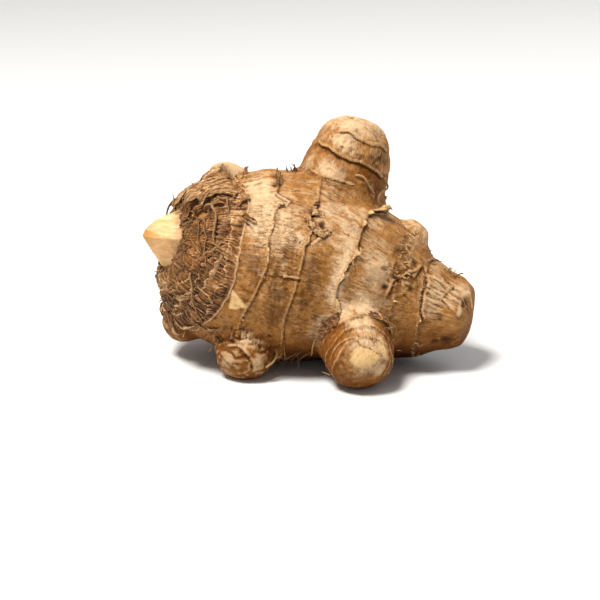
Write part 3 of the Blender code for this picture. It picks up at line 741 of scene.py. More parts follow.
def toneSkin(at):  # where the skin is pale (rubbed skin and painted highlights), umber (stains and painted foot shadows), warm orange (orange skin, and painted shade lower down)
    mask = at.knobMask
    height = at.points[:, 2]
    # the band past each ring is paler only on the upper side: painted light from above
    pale = np.maximum(spotSum(paleSpots, at.along, at.around),
                      0.35 * at.freshSide * step(np.sin(at.turn), 0.0, 0.8))
    pale = pale * at.onBody
    at.umber = spotSum(umberSpots, at.along, at.around) * at.onBody * (0.75 + 0.6 * at.blotch)
    # painted shade: the skin turns darker orange towards the bottom
    warm = 1 - step(height + 2.5 * at.blotch, 4.0, 22.0)
    frontPale = 0.85 * bump(distanceTo(at.points, (0.668, 0.03, 0.19)), 0, 7.5)
    warm = np.maximum(warm * (1 - mask["front"]), mask["front"] * (1.0 + 0.35 * at.grain - frontPale))
    at.bare = bareMask(at)

    reach, _, knobTurn, _ = at.knobAt["top"]
    edge = knobRingAt("topMid", knobTurn)
    cap = step(reach, edge, edge + 0.06)
    behind = step(np.abs(degreesApart(knobTurn, 90)), 70, 110)  # plain tones on the side away from the front
    capPale = 0.22 + (0.25 + 0.4 * at.blotch) * behind + 0.35 * step(reach, 0.85, 1.0)
    pale = np.maximum(pale, mask["top"] * cap * capPale)
    warm = np.maximum(warm * (1 - mask["top"]), mask["top"] * (0.25 + 0.25 * (1 - cap)))
    leftStain = 0.55 * (1 - step(waves(at.points / 3.0, 13), -0.4, 0.2))
    at.umber = np.maximum(at.umber, mask["left"] * leftStain)
    warm = np.maximum(warm * (1 - mask["left"]), mask["left"] * 0.75)
    pale = np.maximum(pale, mask["topBud"] * (0.5 + 0.6 * at.grain))
    pale = np.maximum(pale, mask["collarBud"] * (0.9 + 0.4 * at.grain))
    pale = np.maximum(pale, mask["back"] * step(at.knobAt["back"][0], 0.68, 0.8) * (0.35 + 0.6 * at.blotch))

    warped = at.points + 0.5 * at.grain[:, None] + 0.8 * at.blotch[:, None]
    # pale tones and crest paleness, partly painted highlights
    tonePale = np.maximum(at.tonePale, toneSum("pale", warped))
    # umber takes in the painted shadows at the foot of torn edges
    at.umber = np.maximum(at.umber, np.maximum(at.toneDark * 1.1, toneSum("umber", warped)))
    warm = np.maximum(warm, toneSum("warm", warped))
    warm = warm * (1 - 0.92 * np.clip(np.maximum(tonePale, 0.6 * pale), 0, 1))
    at.pale = np.maximum(pale, tonePale)
    at.warm = np.maximum(warm, at.cavity * (1 - step(at.around, 60, 72)))
    # painted shade: the skin is made darker towards the bottom, less so on the left and front knobs
    at.low = 1 - step(height + 1.5 * at.blotch, 1.0, 15.0)
    at.low *= 1 - 0.75 * mask["left"] - 0.6 * mask["front"]
    at.dashes = at.onBody * step(at.blotch + 0.3 * at.grain, 0.0, 0.5)


def shapeSkin(skin):
    mesh = skin.data
    at = readBody(mesh)
    for lifter in (liftBody, liftScars, liftKnobs, liftLines, liftHollows):
        lifter(at)
    moved = at.points + at.normals * at.lift[:, None]
    growBuds(at, moved)
    moved[:, 2] = np.maximum(moved[:, 2], 0.0)
    writePoints(mesh, moved)
    # how hollow each point is, used to paint shade in creases and a highlight on ridges
    at.crease = hollowness(mesh, moved, 5, 4.0)
    toneSkin(at)
    for name in ("collar", "scarLine", "scarShade", "crease", "bare", "pit",
                 "rough", "pale", "umber", "warm", "low", "dashes"):
        setMask(mesh, name, getattr(at, name))
    setMask(mesh, "blotch", 0.5 + 0.5 * at.blotch)
    setPlace(mesh, "growth", at.growth)
    smoothShade(mesh)
    print("skin shaped:", len(mesh.vertices), "points")
    return skin


# material helpers
def fillInputs(tree, node, values):
    for key, value in values.items():
        if isinstance(value, bpy.types.NodeSocket):
            tree.links.new(value, node.inputs[key])
        else:
            node.inputs[key].default_value = value


def addNode(tree, kind, values=None, **settings):
    node = tree.nodes.new(kind)
    for key, value in settings.items():
        setattr(node, key, value)
    fillInputs(tree, node, values or {})
    return node


def vectorMath(tree, operation, values):
    return addNode(tree, "ShaderNodeVectorMath", values, operation=operation).outputs[0]


def noiseNode(tree, place, scale, detail, roughness=0.5):
    values = {"Vector": place, "Scale": scale, "Detail": detail, "Roughness": roughness}
    return addNode(tree, "ShaderNodeTexNoise", values)


def sumUp(tree, operation, first, second):
    return addNode(tree, "ShaderNodeMath", {0: first, 1: second}, operation=operation).outputs[0]


def times(tree, first, second):
    return sumUp(tree, "MULTIPLY", first, second)


def plus(tree, first, second):
    return sumUp(tree, "ADD", first, second)


def minus(tree, first, second):
    return sumUp(tree, "SUBTRACT", first, second)


def spread(tree, value, fromLow, fromHigh, toLow=0.0, toHigh=1.0):
    values = {"Value": value, "From Min": fromLow, "From Max": fromHigh, "To Min": toLow, "To Max": toHigh}
    return addNode(tree, "ShaderNodeMapRange", values, interpolation_type="SMOOTHSTEP").outputs["Result"]


def mixed(tree, amount, base, tone):
    return addNode(tree, "ShaderNodeMix", {0: amount, 6: base, 7: tone}, data_type="RGBA").outputs[2]


def coated(tree, base, coats):  # colours laid one over another, each by its amount
    for amount, tone in coats:
        base = mixed(tree, amount, base, tone)
    return base


def maskOf(tree, name):
    return addNode(tree, "ShaderNodeAttribute", attribute_name=name).outputs["Fac"]


def growthOf(tree):
    return addNode(tree, "ShaderNodeAttribute", attribute_name="growth").outputs["Vector"]


def placeInMm(tree):
    place = addNode(tree, "ShaderNodeNewGeometry").outputs["Position"]
    return vectorMath(tree, "SCALE", {0: place, "Scale": 1000.0})


def newGroup(name, inputs, output):
    group = bpy.data.node_groups.new(name, "ShaderNodeTree")
    group.interface.new_socket(name="Place", in_out="INPUT", socket_type="NodeSocketVector")
    for label, value in inputs.items():
        socket = group.interface.new_socket(name=label, in_out="INPUT", socket_type="NodeSocketFloat")
        socket.default_value = value
    group.interface.new_socket(name=output, in_out="OUTPUT", socket_type="NodeSocketFloat")
    return group, group.nodes.new("NodeGroupInput").outputs, group.nodes.new("NodeGroupOutput")


def buildStreakGroup():  # long thin streaks that follow the growth
    group, source, target = newGroup("growthStreaks", {"Length": 6.0, "Width": 0.5, "Waver": 0.4}, "Streak")
    drift = noiseNode(group, source["Place"], 0.35, 2.0).outputs["Color"]
    centred = vectorMath(group, "SUBTRACT", {0: drift, 1: (0.5, 0.5, 0.5)})
    shift = vectorMath(group, "SCALE", {0: centred, "Scale": source["Waver"]})
    bent = vectorMath(group, "ADD", {0: source["Place"], 1: shift})
    sizes = {"X": source["Length"], "Y": source["Width"], "Z": source["Width"]}
    stretch = addNode(group, "ShaderNodeCombineXYZ", sizes).outputs[0]
    streak = noiseNode(group, vectorMath(group, "DIVIDE", {0: bent, 1: stretch}), 1.0, 3.0, 0.6)
    group.links.new(streak.outputs["Fac"], target.inputs["Streak"])
    return group


def buildSoilGroup():  # umber soil stain, patchy, heavier in creases
    group, source, target = newGroup("soilStain", {"Amount": 0.5, "Crease": 0.5, "Size": 3.0}, "Stain")
    patch = noiseNode(group, source["Place"], sumUp(group, "DIVIDE", 1.0, source["Size"]), 6.0, 0.65)
    inCrease = times(group, minus(group, source["Crease"], 0.5), 0.5)
    level = minus(group, 1.0, source["Amount"])
    over = minus(group, plus(group, patch.outputs["Fac"], inCrease), level)
    group.links.new(spread(group, over, -0.12, 0.12), target.inputs["Stain"])
    return group


streakGroup = buildStreakGroup()
soilGroup = buildSoilGroup()


def useGroup(tree, group, values):
    node = tree.nodes.new("ShaderNodeGroup")
    node.node_tree = group
    fillInputs(tree, node, values)
    return node.outputs[0]


def streaks(tree, place, length, width, waver):
    return useGroup(tree, streakGroup, {"Place": place, "Length": length, "Width": width, "Waver": waver})


def stain(tree, place, amount, crease, size):
    return useGroup(tree, soilGroup, {"Place": place, "Amount": amount, "Crease": crease, "Size": size})


def colour(red, green, blue):
    return (red, green, blue, 1.0)


def startMaterial(name):
    material = bpy.data.materials.new(name)
    material.use_nodes = True
    return material, material.node_tree, material.node_tree.nodes["Principled BSDF"]


def finishMaterial(tree, shader, base, specular, height, strength, distance):
    tree.links.new(base, shader.inputs["Base Color"])
    shader.inputs["Specular IOR Level"].default_value = specular
    bumpNode = addNode(tree, "ShaderNodeBump", {"Height": height, "Strength": strength, "Distance": distance})
    tree.links.new(bumpNode.outputs[0], shader.inputs["Normal"])


skinLook = {
    "cream": colour(0.745, 0.512, 0.300), "tan": colour(0.405, 0.180, 0.048),
    "umber": colour(0.116, 0.041, 0.0055),
    "dark": colour(0.024, 0.008, 0.002), "orange": colour(0.190, 0.052, 0.0020),
    "rimPale": colour(0.64, 0.395, 0.19),
    "lowBrown": colour(0.032, 0.007, 0.0005), "greyDust": colour(0.27, 0.150, 0.080),
    "flesh": colour(0.86, 0.565, 0.260), "fleshBrown": colour(0.38, 0.165, 0.04),
}


def skinColour(tree, growth, place, fineStreak, wideStreak):
    look = skinLook
    crease, pale, umber, warm = [maskOf(tree, name) for name in ("crease", "pale", "umber", "warm")]
    soil = stain(tree, growth, 0.47, crease, 4.0)
    flecks = stain(tree, place, 0.43, crease, 0.8)
    streakLift = minus(tree, fineStreak, 0.5)
    wideLift = minus(tree, wideStreak, 0.5)
    smoothness = minus(tree, 1.0, times(tree, pale, 0.75))  # fine dirt fades where the skin is pale, on rubbed skin and painted highlights

    # tan skin, cream where it is dry and rubbed and on painted highlights, umber where soil has stained it
    # and in painted foot shadows
    creamAmount = plus(tree, plus(tree, pale, times(tree, streakLift, 0.8)), times(tree, wideLift, 1.7))
    umberAmount = plus(tree, times(tree, umber, 0.8), times(tree, soil, 0.45))
    umberAmount = plus(tree, umberAmount, times(tree, streakLift, -1.9))
    mottle = times(tree, stain(tree, growth, 0.46, crease, 1.9), plus(tree, times(tree, umber, 0.35), 0.30))
    # extra cream on pale skin and higher up where it is less warm: rubbed skin and painted light
    rubbed = plus(tree, times(tree, pale, 0.46), times(tree, minus(tree, 1.0, warm), 0.15))
    dust = times(tree, spread(tree, plus(tree, wideStreak, maskOf(tree, "blotch")), 1.0, 1.3), 0.4)
    # the warm mask carries the painted shade towards the bottom
    warmAmount = plus(tree, times(tree, warm, 0.85), times(tree, wideLift, 0.6))
    dashPlace = vectorMath(tree, "MULTIPLY", {0: growth, 1: (0.45, 1.25, 1.25)})
    dashes = addNode(tree, "ShaderNodeTexVoronoi", {"Vector": dashPlace, "Scale": 0.6}).outputs["Distance"]
    dashes = times(tree, spread(tree, dashes, 0.13, 0.05), maskOf(tree, "dashes"))
    base = coated(tree, look["tan"], (
        (spread(tree, creamAmount, 0.05, 0.85), look["cream"]),
        (spread(tree, umberAmount, 0.25, 1.15, 0.0, 0.92), look["umber"]),
        (mottle, look["umber"]),
        (times(tree, stain(tree, growth, 0.40, 0.5, 1.4), rubbed), look["cream"]),
        (dust, look["greyDust"]),
        (spread(tree, warmAmount, 0.1, 0.95, 0.0, 0.86), look["orange"]),
        (times(tree, times(tree, flecks, smoothness), 0.50), look["umber"]),
        (times(tree, spread(tree, fineStreak, 0.42, 0.26, 0.0, 0.6), smoothness), look["umber"]),
        (times(tree, dashes, 0.7), look["dark"]),
    ))

    # the rough zone, scars, the stained skin under the collar, and bare flesh
    roughSoil = times(tree, maskOf(tree, "rough"), stain(tree, growth, 0.56, crease, 1.3))
    scarAmount = plus(tree, maskOf(tree, "scarLine"), times(tree, streakLift, 0.5))
    fleshDirt = plus(tree, times(tree, flecks, 0.6), stain(tree, place, 0.40, crease, 2.0))
    fleshTone = mixed(tree, times(tree, fleshDirt, 0.6), look["flesh"], look["fleshBrown"])
    # painted shade: darker towards the bottom, in creases and in pits; painted highlight: paler on ridges
    return coated(tree, base, (
        (times(tree, roughSoil, 0.85), look["umber"]),
        (times(tree, maskOf(tree, "scarShade"), 0.75), look["umber"]),
        # pale torn rims, with a painted highlight along their lips
        (spread(tree, scarAmount, 0.45, 0.90, 0.0, 0.75), look["rimPale"]),
        (maskOf(tree, "collar"), look["umber"]),
        (maskOf(tree, "bare"), fleshTone),
        (times(tree, maskOf(tree, "low"), 0.92), look["lowBrown"]),
        (spread(tree, crease, 0.60, 1.0, 0.0, 0.72), look["dark"]),
        (spread(tree, crease, 0.42, 0.15, 0.0, 0.5), look["rimPale"]),
        (times(tree, maskOf(tree, "pit"), 0.95), look["dark"]),
    ))


def buildSkinMaterial():
    material, tree, shader = startMaterial("tuberSkinPaper")
    growth, place = growthOf(tree), placeInMm(tree)
    fineStreak = streaks(tree, growth, 3.6, 0.36, 1.4)
    wideStreak = streaks(tree, growth, 8.0, 1.5, 3.0)
    base = skinColour(tree, growth, place, fineStreak, wideStreak)
    tree.links.new(spread(tree, wideStreak, 0.3, 0.7, 0.48, 0.72), shader.inputs["Roughness"])
    grain = noiseNode(tree, place, 1.7, 5.0, 0.7).outputs["Fac"]
    relief = plus(tree, plus(tree, fineStreak, times(tree, grain, 0.8)), times(tree, wideStreak, 0.6))
    finishMaterial(tree, shader, base, 0.07, relief, 0.6, 0.0008)
    return material


def finishPiece(item, material):
    item.data.materials.clear()
    item.data.materials.append(material)
    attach(item, "root")
    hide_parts("tuber")
    print(item.name, len(item.data.polygons), "faces")


skin = shapeSkin(softCopy())
finishPiece(skin, buildSkinMaterial())


# finding places on the finished skin
def treeOf(mesh):
    points = [tuple(point) for point in readPoints(mesh) / mm]
    return BVHTree.FromPolygons(points, [tuple(face.vertices) for face in mesh.polygons])


skinTree = treeOf(skin.data)


def surfaceAt(along, around):  # point and outward direction in mm
    centre = Vector(growthPoint(np.array(float(along))))
    up, front = acrossWays(np.array(float(along)))
    turn = math.radians(around)
    out = Vector(up * math.sin(turn) + front * math.cos(turn))
    hit, normal, _, _ = skinTree.ray_cast(centre + out * 60.0, -out)
    return (hit, normal) if hit is not None else (centre + out * 8.0, out)


def growthHeading(along):
    return Vector(growthWay(np.array(float(along))))


def onKnob(point, slack=1.0):  # True where a place lies on one of the knobs
    spot = np.array([tuple(point)])
    for name, knob in knobs.items():
        reach, away, _, _ = knobPlace(spot, name)
        if reach[0] > 0.34 and away[0] < knob["radius"] * 1.12 + slack:
            return True
    return False


def newMesh(name, points, faces):
    mesh = bpy.data.meshes.new(name)
    mesh.from_pydata([tuple(point * mm) for point in points], [], faces)
    item = bpy.data.objects.new(name, mesh)
    scene.collection.objects.link(item)
    smoothShade(mesh)
    return item


def makeStrips(name, strips, thickness):  # strips of (rows of points, shade or one shade a row)
    points, faces, shades, edges = [], [], [], []
    for rows, shade in strips:
        start = len(points)
        wide = len(rows[0])
        rowShades = shade if isinstance(shade, list) else [shade] * len(rows)
        for row, tone in zip(rows, rowShades):
            points.extend(row)
            shades.extend([tone] * wide)
            edges.extend(index / (wide - 1) for index in range(wide))
        for r, c in itertools.product(range(len(rows) - 1), range(wide - 1)):
            first = start + r * wide + c
            faces.append((first, first + 1, first + wide + 1, first + wide))
    item = newMesh(name, points, faces)
    setMask(item.data, "shade", np.array(shades))
    setMask(item.data, "edge", np.array(edges))
    solid = item.modifiers.new("thickness", "SOLIDIFY")
    solid.thickness = thickness * mm
    solid.offset = 0.0
    return applied(item)


def makeFibres(name, fibres):  # each fibre is (points, radius, shade)
    sides = 5
    points, faces, shades = [], [], []
    for path, radius, shade in fibres:
        start = len(points)
        side = (path[1] - path[0]).normalized().orthogonal().normalized()
        last = len(path) - 1
        for index, centre in enumerate(path):
            way = (path[min(index + 1, last)] - path[max(index - 1, 0)]).normalized()
            side = (side - way * side.dot(way)).normalized()
            other = way.cross(side)
            thick = radius * (1.0 - 0.7 * (index / last) ** 2)
            for corner in range(sides):
                turn = 2 * math.pi * corner / sides
                points.append(centre + (side * math.cos(turn) + other * math.sin(turn)) * thick)
                shades.append(shade)
        for ring, corner in itertools.product(range(last), range(sides)):
            a = start + ring * sides + corner
            b = start + ring * sides + (corner + 1) % sides
            faces.append((a, b, b + sides, a + sides))
        faces.append(tuple(start + corner for corner in reversed(range(sides))))
        faces.append(tuple(start + last * sides + corner for corner in range(sides)))
    item = newMesh(name, points, faces)
    setMask(item.data, "shade", np.array(shades))
    return item


def softened(path):
    for _ in range(2):
        inner = [(before + point * 2 + after) / 4 for before, point, after in zip(path, path[1:], path[2:])]
        path = [path[0]] + inner + [path[-1]]
    return path


def resampled(path, count):  # the same path with evenly spaced points
    spots = np.array([tuple(point) for point in path])
    run = np.concatenate([[0], np.cumsum(np.linalg.norm(np.diff(spots, axis=0), axis=1))])
    wanted = np.linspace(0, run[-1], count)
    even = [Vector([np.interp(value, run, spots[:, k]) for k in range(3)]) for value in wanted]
    return softened(softened(even))


# the stub of the cut stem: its corners, then the directions that its two knife facets face
stemCorners = (
    (0.009, 0.432, 0.57), (0.0, 0.428, 0.541), (0.119, 0.348, 0.552), (0.037, 0.47, 0.597),
    (0.082, 0.485, 0.618), (0.136, 0.504, 0.643), (0.058, 0.422, 0.414), (0.095, 0.397, 0.414),
    (0.041, 0.549, 0.546), (0.048, 0.505, 0.402), (0.153, 0.6, 0.629), (0.144, 0.515, 0.355),
    (0.188, 0.412, 0.53),
)
stemFacets = np.array([(-0.157, -0.40, 0.90), (-0.476, -0.85, -0.22)])


def buildStemCut():
    mesh = bpy.data.meshes.new("stemCut")
    shape = bmesh.new()
    for corner in stemCorners:
        shape.verts.new(inBox(*corner))
    bmesh.ops.convex_hull(shape, input=shape.verts)
    loose = [vert for vert in shape.verts if not vert.link_faces]
    bmesh.ops.delete(shape, geom=loose, context="VERTS")
    bmesh.ops.recalc_face_normals(shape, faces=shape.faces)
    shape.to_mesh(mesh)
    shape.free()
    item = bpy.data.objects.new("stemCut", mesh)
    scene.collection.objects.link(item)
    soften = item.modifiers.new("knifeEdge", "BEVEL")
    soften.width = 0.3 * mm
    soften.segments = 2
    remesh = item.modifiers.new("evenMesh", "REMESH")
    remesh.mode = "VOXEL"
    remesh.voxel_size = 0.26 * mm
    smooth = item.modifiers.new("softFlesh", "SMOOTH")
    smooth.iterations = 2
    mesh = applied(item).data
    points = readPoints(mesh) / mm
    normals = readNormals(mesh)
    cut = step((normals @ stemFacets.T).max(axis=1), 0.60, 0.85)
    lines = layered(points / np.array([6.0, 1.1, 1.1]), 31, 3)
    dents = layered(points / 3.0, 33, 2)
    lift = (0.08 * lines + 0.12 * dents) * cut + (1 - cut) * (0.35 * layered(points / 1.3, 32, 3))
    writePoints(mesh, points + normals * lift[:, None])
    # faces that turn downwards get the darker ochre: painted shade, besides the ochre spot of flesh
    lower = step(-normals[:, 2], -0.25, 0.15) * (0.5 + 0.3 * dents)
    rim = spotIn((0.13, 0.38, 0.50))[0]
    ragged = points[:, 0] + 1.1 * dents + 1.8 * layered(points / 1.1, 34, 2)
    setMask(mesh, "cut", cut)
    setMask(mesh, "ochre", np.maximum(1.1 * bump(distanceTo(points, (0.0, 0.43, 0.545)), 0.0, 4.4), lower))
    setMask(mesh, "rim", step(ragged, rim - 4.4, rim + 0.2))
    smoothShade(mesh)
    return item


# the collar: a wrinkled sheath of old skin from the stub to its rim
barkPlan = {
    "centre": -22.0, "stem": (0.06, 0.45, 0.53), "rows": 88, "columns": 560, "radius": 13.0, "thick": 0.5,
    "ribWidth": 0.6, "ribHeight": 0.22, "foldHeight": 0.55, "layerEdges": (3.4, 6.8, 10.0, 13.2),
    "layerThick": 0.36, "edgeCurl": 0.35, "rimHeight": 0.16,
}


def barkDirections():  # the sheath's centre, its way towards the stub, and its front and upward ways
    centre = growthPoint(np.array(barkPlan["centre"]))
    axis = spotIn(barkPlan["stem"]) - centre
    axis /= np.linalg.norm(axis)
    up = np.array([0, 0, 1.0]) - axis * axis[2]
    up /= np.linalg.norm(up)
    return centre, axis, np.cross(-axis, up), up


def barkGrid(stub, turns):
    # rows of places on the skin from the stub's edge to the rim, with mm to the rim and mm off the stub
    stubTree = treeOf(stub.data)
    centre, axis, front, up = barkDirections()
    polars = np.radians(np.linspace(10, 150, 130))
    places = np.zeros((len(turns), len(polars), 3))
    inner = np.zeros(len(turns))
    for number, turn in enumerate(turns):
        side = front * math.cos(turn) + up * math.sin(turn)
        for index, polar in enumerate(polars):
            way = Vector(axis * math.cos(polar) + side * math.sin(polar))
            start = Vector(centre) + way * 60
            places[number, index], _, _, far = skinTree.ray_cast(start, -way)
            cutHit, _, _, cutFar = stubTree.ray_cast(start, -way)
            if cutHit is not None and cutFar < far - 0.3:
                inner[number] = index + 1
    for _ in range(6):
        inner = (np.roll(inner, 1) + inner * 2 + np.roll(inner, -1)) / 4
    along, around, _ = bodyPlace(places.reshape(-1, 3))
    past = (along - ringAlong("collarRim", around)).reshape(places.shape[:2])
    grid = np.zeros((len(turns), barkPlan["rows"], 3))
    toRim, offStub = np.zeros((2, len(turns), barkPlan["rows"]))
    for number in range(len(turns)):
        first = int(inner[number])
        over = np.nonzero(past[number, first + 2:] > 0.35)[0]
        last = first + 2 + (over[0] if len(over) else 60)
        path = places[number, first:last + 1]
        run = np.concatenate([[0], np.cumsum(np.linalg.norm(np.diff(path, axis=0), axis=1))])
        wanted = np.linspace(0, run[-1], barkPlan["rows"])
        grid[number] = np.stack([np.interp(wanted, run, path[:, k]) for k in range(3)], axis=1)
        toRim[number] = run[-1] - wanted
        offStub[number] = wanted
    for _ in range(4):
        grid = (np.roll(grid, 1, axis=0) + grid * 2 + np.roll(grid, -1, axis=0)) / 4
    normals = np.cross(np.roll(grid, -1, axis=0) - np.roll(grid, 1, axis=0), np.gradient(grid, axis=1))
    normals /= np.maximum(np.linalg.norm(normals, axis=2, keepdims=True), 1e-6)
    normals *= np.sign(((grid - centre) * normals).sum(axis=2, keepdims=True))
    return grid, normals, toRim.ravel(), offStub.ravel()


def layerEdges(ring, toRim, lower):  # lift, painted shadow past each free edge, and free edge of the torn layers, thickest below
    plan = barkPlan
    lift, undercut, freeEdge = np.zeros((3, len(toRim)))
    for number, edgeAt in enumerate(plan["layerEdges"]):
        coarse, fine, gaps = [np.column_stack([ring / size, np.full(len(ring), seed * 5.3)])
                              for size, seed in ((4.2, number), (0.5, number), (3.5, number + 9))]
        gap = toRim - (edgeAt + 2.4 * layered(coarse, 46, 3) + 0.35 * waves(fine, 47))
        present = 0.25 + 0.8 * lower + 0.5 * waves(gaps, 48)
        there = np.clip(present, 0, 1)
        onTop = 1 - step(gap, -0.12, 0.10)
        curl = plan["edgeCurl"] * np.exp(np.minimum(gap, 0) / 0.9)
        lift += np.clip(present, 0, 1.4) * onTop * (plan["layerThick"] + curl)
        # painted shadow just past each free edge
        undercut = np.maximum(undercut, there * step(gap, -0.05, 0.1) * np.exp(-np.maximum(gap, 0) / 0.55))
        freeEdge = np.maximum(freeEdge, there * bump(gap, -0.22, 0.25))
    return lift, undercut, freeEdge


def buildBark(stub):
    plan = barkPlan
    rows, columns = plan["rows"], plan["columns"]
    turns = np.linspace(-math.pi, math.pi, columns, endpoint=False)
    grid, normals, toRim, offStub = barkGrid(stub, turns)
    flat = grid.reshape(-1, 3)
    ring = np.repeat(onCircle(turns, plan["radius"], 0)[:, :2], rows, axis=0)
    turnDegrees = np.degrees(np.repeat(turns, rows))

    # ribs, folds, torn layers and the rim
    drift = waves(np.column_stack([ring / 4.0, toRim / 3.5]), 41)
    ripple = waves(np.column_stack([ring / 1.6, toRim / 1.5]), 42)
    sway = (drift * 0.9 + ripple * 0.12)[:, None]
    ribPlace = np.column_stack([ring / plan["ribWidth"], toRim / 10.0]) + sway
    ribs = creased(waves(ribPlace, 43))
    fine = creased(waves(ribPlace * np.array([1.9, 1.9, 1.3]), 44))
    folds = layered(np.column_stack([ring / 3.2, toRim / 8.0]) + drift[:, None] * 0.5, 45, 2)
    layers, undercut, freeEdge = layerEdges(ring, toRim, bump(degreesApart(turnDegrees, -85), 0, 60))
    lift = plan["thick"] + plan["ribHeight"] * (ribs - 0.3) + 0.12 * fine + plan["foldHeight"] * folds
    lift += layers - plan["layerThick"] * 1.2
    rimLine = bump(toRim, 0.50 + 0.25 * ripple, 0.24)
    lift = lift * step(toRim, 0.3, 3.2) + plan["rimHeight"] * rimLine + 0.10
    budGap = np.zeros(len(flat))
    for name in ("lowBud", "collarBud"):  # the sheath sinks away where a bud comes through
        reach, away, _, _ = knobPlace(flat, name)
        wide = knobs[name]["radius"]
        budGap = np.maximum(budGap, step(reach, -0.1, 0.35) * (1 - step(away, wide * 0.95, wide * 1.35)))
    lift -= budGap * (lift + 0.8)
    hollow = bump(np.linalg.norm(flat - np.array(surfaceAt(-33.0, 72)[0]), axis=1), 0, 2.6)
    lift -= hollow * 0.9
    edgeSink = np.tile(np.concatenate([[1.0, 0.5], np.zeros(rows - 3), [1.0]]), columns)
    lift -= edgeSink * (lift + 0.5)
    flat = flat + normals.reshape(-1, 3) * lift[:, None]
    flat[:, 2] = np.maximum(flat[:, 2], 0.05)

    faces = []
    for number, row in itertools.product(range(columns), range(rows - 1)):
        here, after = number * rows + row, (number + 1) % columns * rows + row
        faces.append((here, after, after + 1, here + 1))
    item = newMesh("collarBark", [Vector(point) for point in flat], faces)
    mesh = item.data
    if mesh.polygons[len(mesh.polygons) // 2].normal.dot(Vector(normals[columns // 2, rows // 2])) < 0:
        mesh.flip_normals()
    crease = hollowness(mesh, flat, 3, 3.2)
    ochreSpot = bump(np.linalg.norm(flat - np.array(surfaceAt(-33.0, 56)[0]), axis=1), 0, 3.4)
    halo = 1 - step(offStub + 1.6 * drift + 0.8 * folds, 0.8, 4.6)  # torn flesh fibres beside the stub
    halo *= bump(degreesApart(turnDegrees, 5), 0, 80)
    # ribs and folds are painted lighter on their crests and darker in their grooves (painted light and
    # shade), over tone changes
    shade = 0.20 + 0.26 * (ribs - 0.3) + 0.16 * folds + 0.10 * fine + 0.35 * freeEdge + 0.12 * drift
    shade += 0.22 * waves(flat / 5.5, 49) + 0.42 * halo + 0.30 * ochreSpot + 0.18 * rimLine
    shade += 0.30 * bump(degreesApart(turnDegrees, 55), 0, 45) * bump(toRim, 3.0, 4.0)
    # painted shade: more saturated orange towards the bottom
    warm = 0.55 * (1 - step(flat[:, 2], 3, 16)) + ochreSpot - 0.35 * halo
    warm += 0.55 * step(toRim, 9.0, 12.0) * bump(degreesApart(turnDegrees, 10), 0, 60)
    setMask(mesh, "shade", np.clip(shade, 0.02, 1.0))
    setMask(mesh, "crease", crease)
    # painted shade under the layers' free edges and in the hollow
    setMask(mesh, "pit", np.maximum(undercut * 0.95, hollow))
    setMask(mesh, "warm", warm)
    setPlace(mesh, "growth", np.column_stack([toRim, ring]))
    return item, flat.reshape(columns, rows, 3), normals


stub = buildStemCut()
bark, barkPoints, barkNormals = buildBark(stub)
barkTree = treeOf(bark.data)


def barkAt(share, degrees):  # a place on the sheath: share 0 at the stub to 1 at the rim, degrees around it
    columns, rows, _ = barkPoints.shape
    column = (math.radians(degrees) + math.pi) / (2 * math.pi) * columns
    row = min(max(share, 0.0), 0.999) * (rows - 1)
    c, r = int(math.floor(column)), int(row)
    u, v = column - c, row - r
    place, normal = np.zeros((2, 3))
    for dc, dr in itertools.product((0, 1), repeat=2):
        weight = (u if dc else 1 - u) * (v if dr else 1 - v)
        at = ((c + dc) % columns, min(r + dr, rows - 1))
        place += weight * barkPoints[at]
        normal += weight * barkNormals[at]
    return Vector(place), Vector(normal).normalized()


def aboveBark(along, around, height):  # a point a given height over the sheath, from body places
    spot, out = surfaceAt(along, around)
    near, _, _, _ = barkTree.find_nearest(spot + out * 1.5)
    return near + out * height


def flapRows(chance, flap, rows=14, across=7):
    # a torn flap rooted on the skin; heading 0 towards the far tip, 90 upwards around, 180 towards the stem
    along, around, heading, length, width, lift, curl = flap
    result = []
    root, _ = surfaceAt(along, around)
    outRadius = max(6.0, (root - Vector(growthPoint(np.array(float(along))))).length)
    turn = math.radians(heading)
    phase = chance.uniform(0, 9)
    for index in range(rows):
        part = index / (rows - 1)
        s = along + length * part * math.cos(turn)
        place, normal = surfaceAt(s, around + math.degrees(length * part * math.sin(turn) / outRadius))
        way = growthHeading(s)
        upward = way.cross(normal).normalized()
        forward = (way * math.cos(turn) + upward * math.sin(turn)).normalized()
        side = forward.cross(normal).normalized()
        ragged = 1 + 0.22 * math.sin(part * 17 + phase) + 0.12 * chance.uniform(-1, 1)
        wide = width * (1 - 0.85 * part ** 1.6) * ragged
        rise = lift * math.sin(part * 1.57) + 0.10 * math.sin(part * 14 + phase) - 0.15 * (1 - part)
        row = []
        for k in range(across):
            off = k / (across - 1) - 0.5
            cup = curl * wide * (off * 2) ** 2 * part + 0.08 * math.sin(off * 13 + part * 6 + phase)
            row.append(place + side * (wide * off) + normal * (rise + cup))
        result.append(row)
    return result


# the loose sheet over the hollow: marks (mm along, degrees around, mm high) of its free and attached edge
sheetFree = (
    (-33.6, 130, 0.6), (-33.4, 118, 1.2), (-33.3, 108, 1.6), (-33.0, 99, 1.8), (-32.6, 91, 1.9),
    (-31.9, 83, 2.0), (-30.6, 76, 1.9), (-28.6, 71, 1.4), (-27.0, 67, 0.8),
)
sheetHeld = (
    (-27.0, 122, 0.5), (-26.0, 110, 0.6), (-25.2, 100, 0.6), (-25.0, 92, 0.7), (-24.6, 84, 0.7),
    (-24.0, 78, 0.6), (-23.6, 71, 0.6), (-23.8, 66, 0.5), (-24.6, 62, 0.5),
)


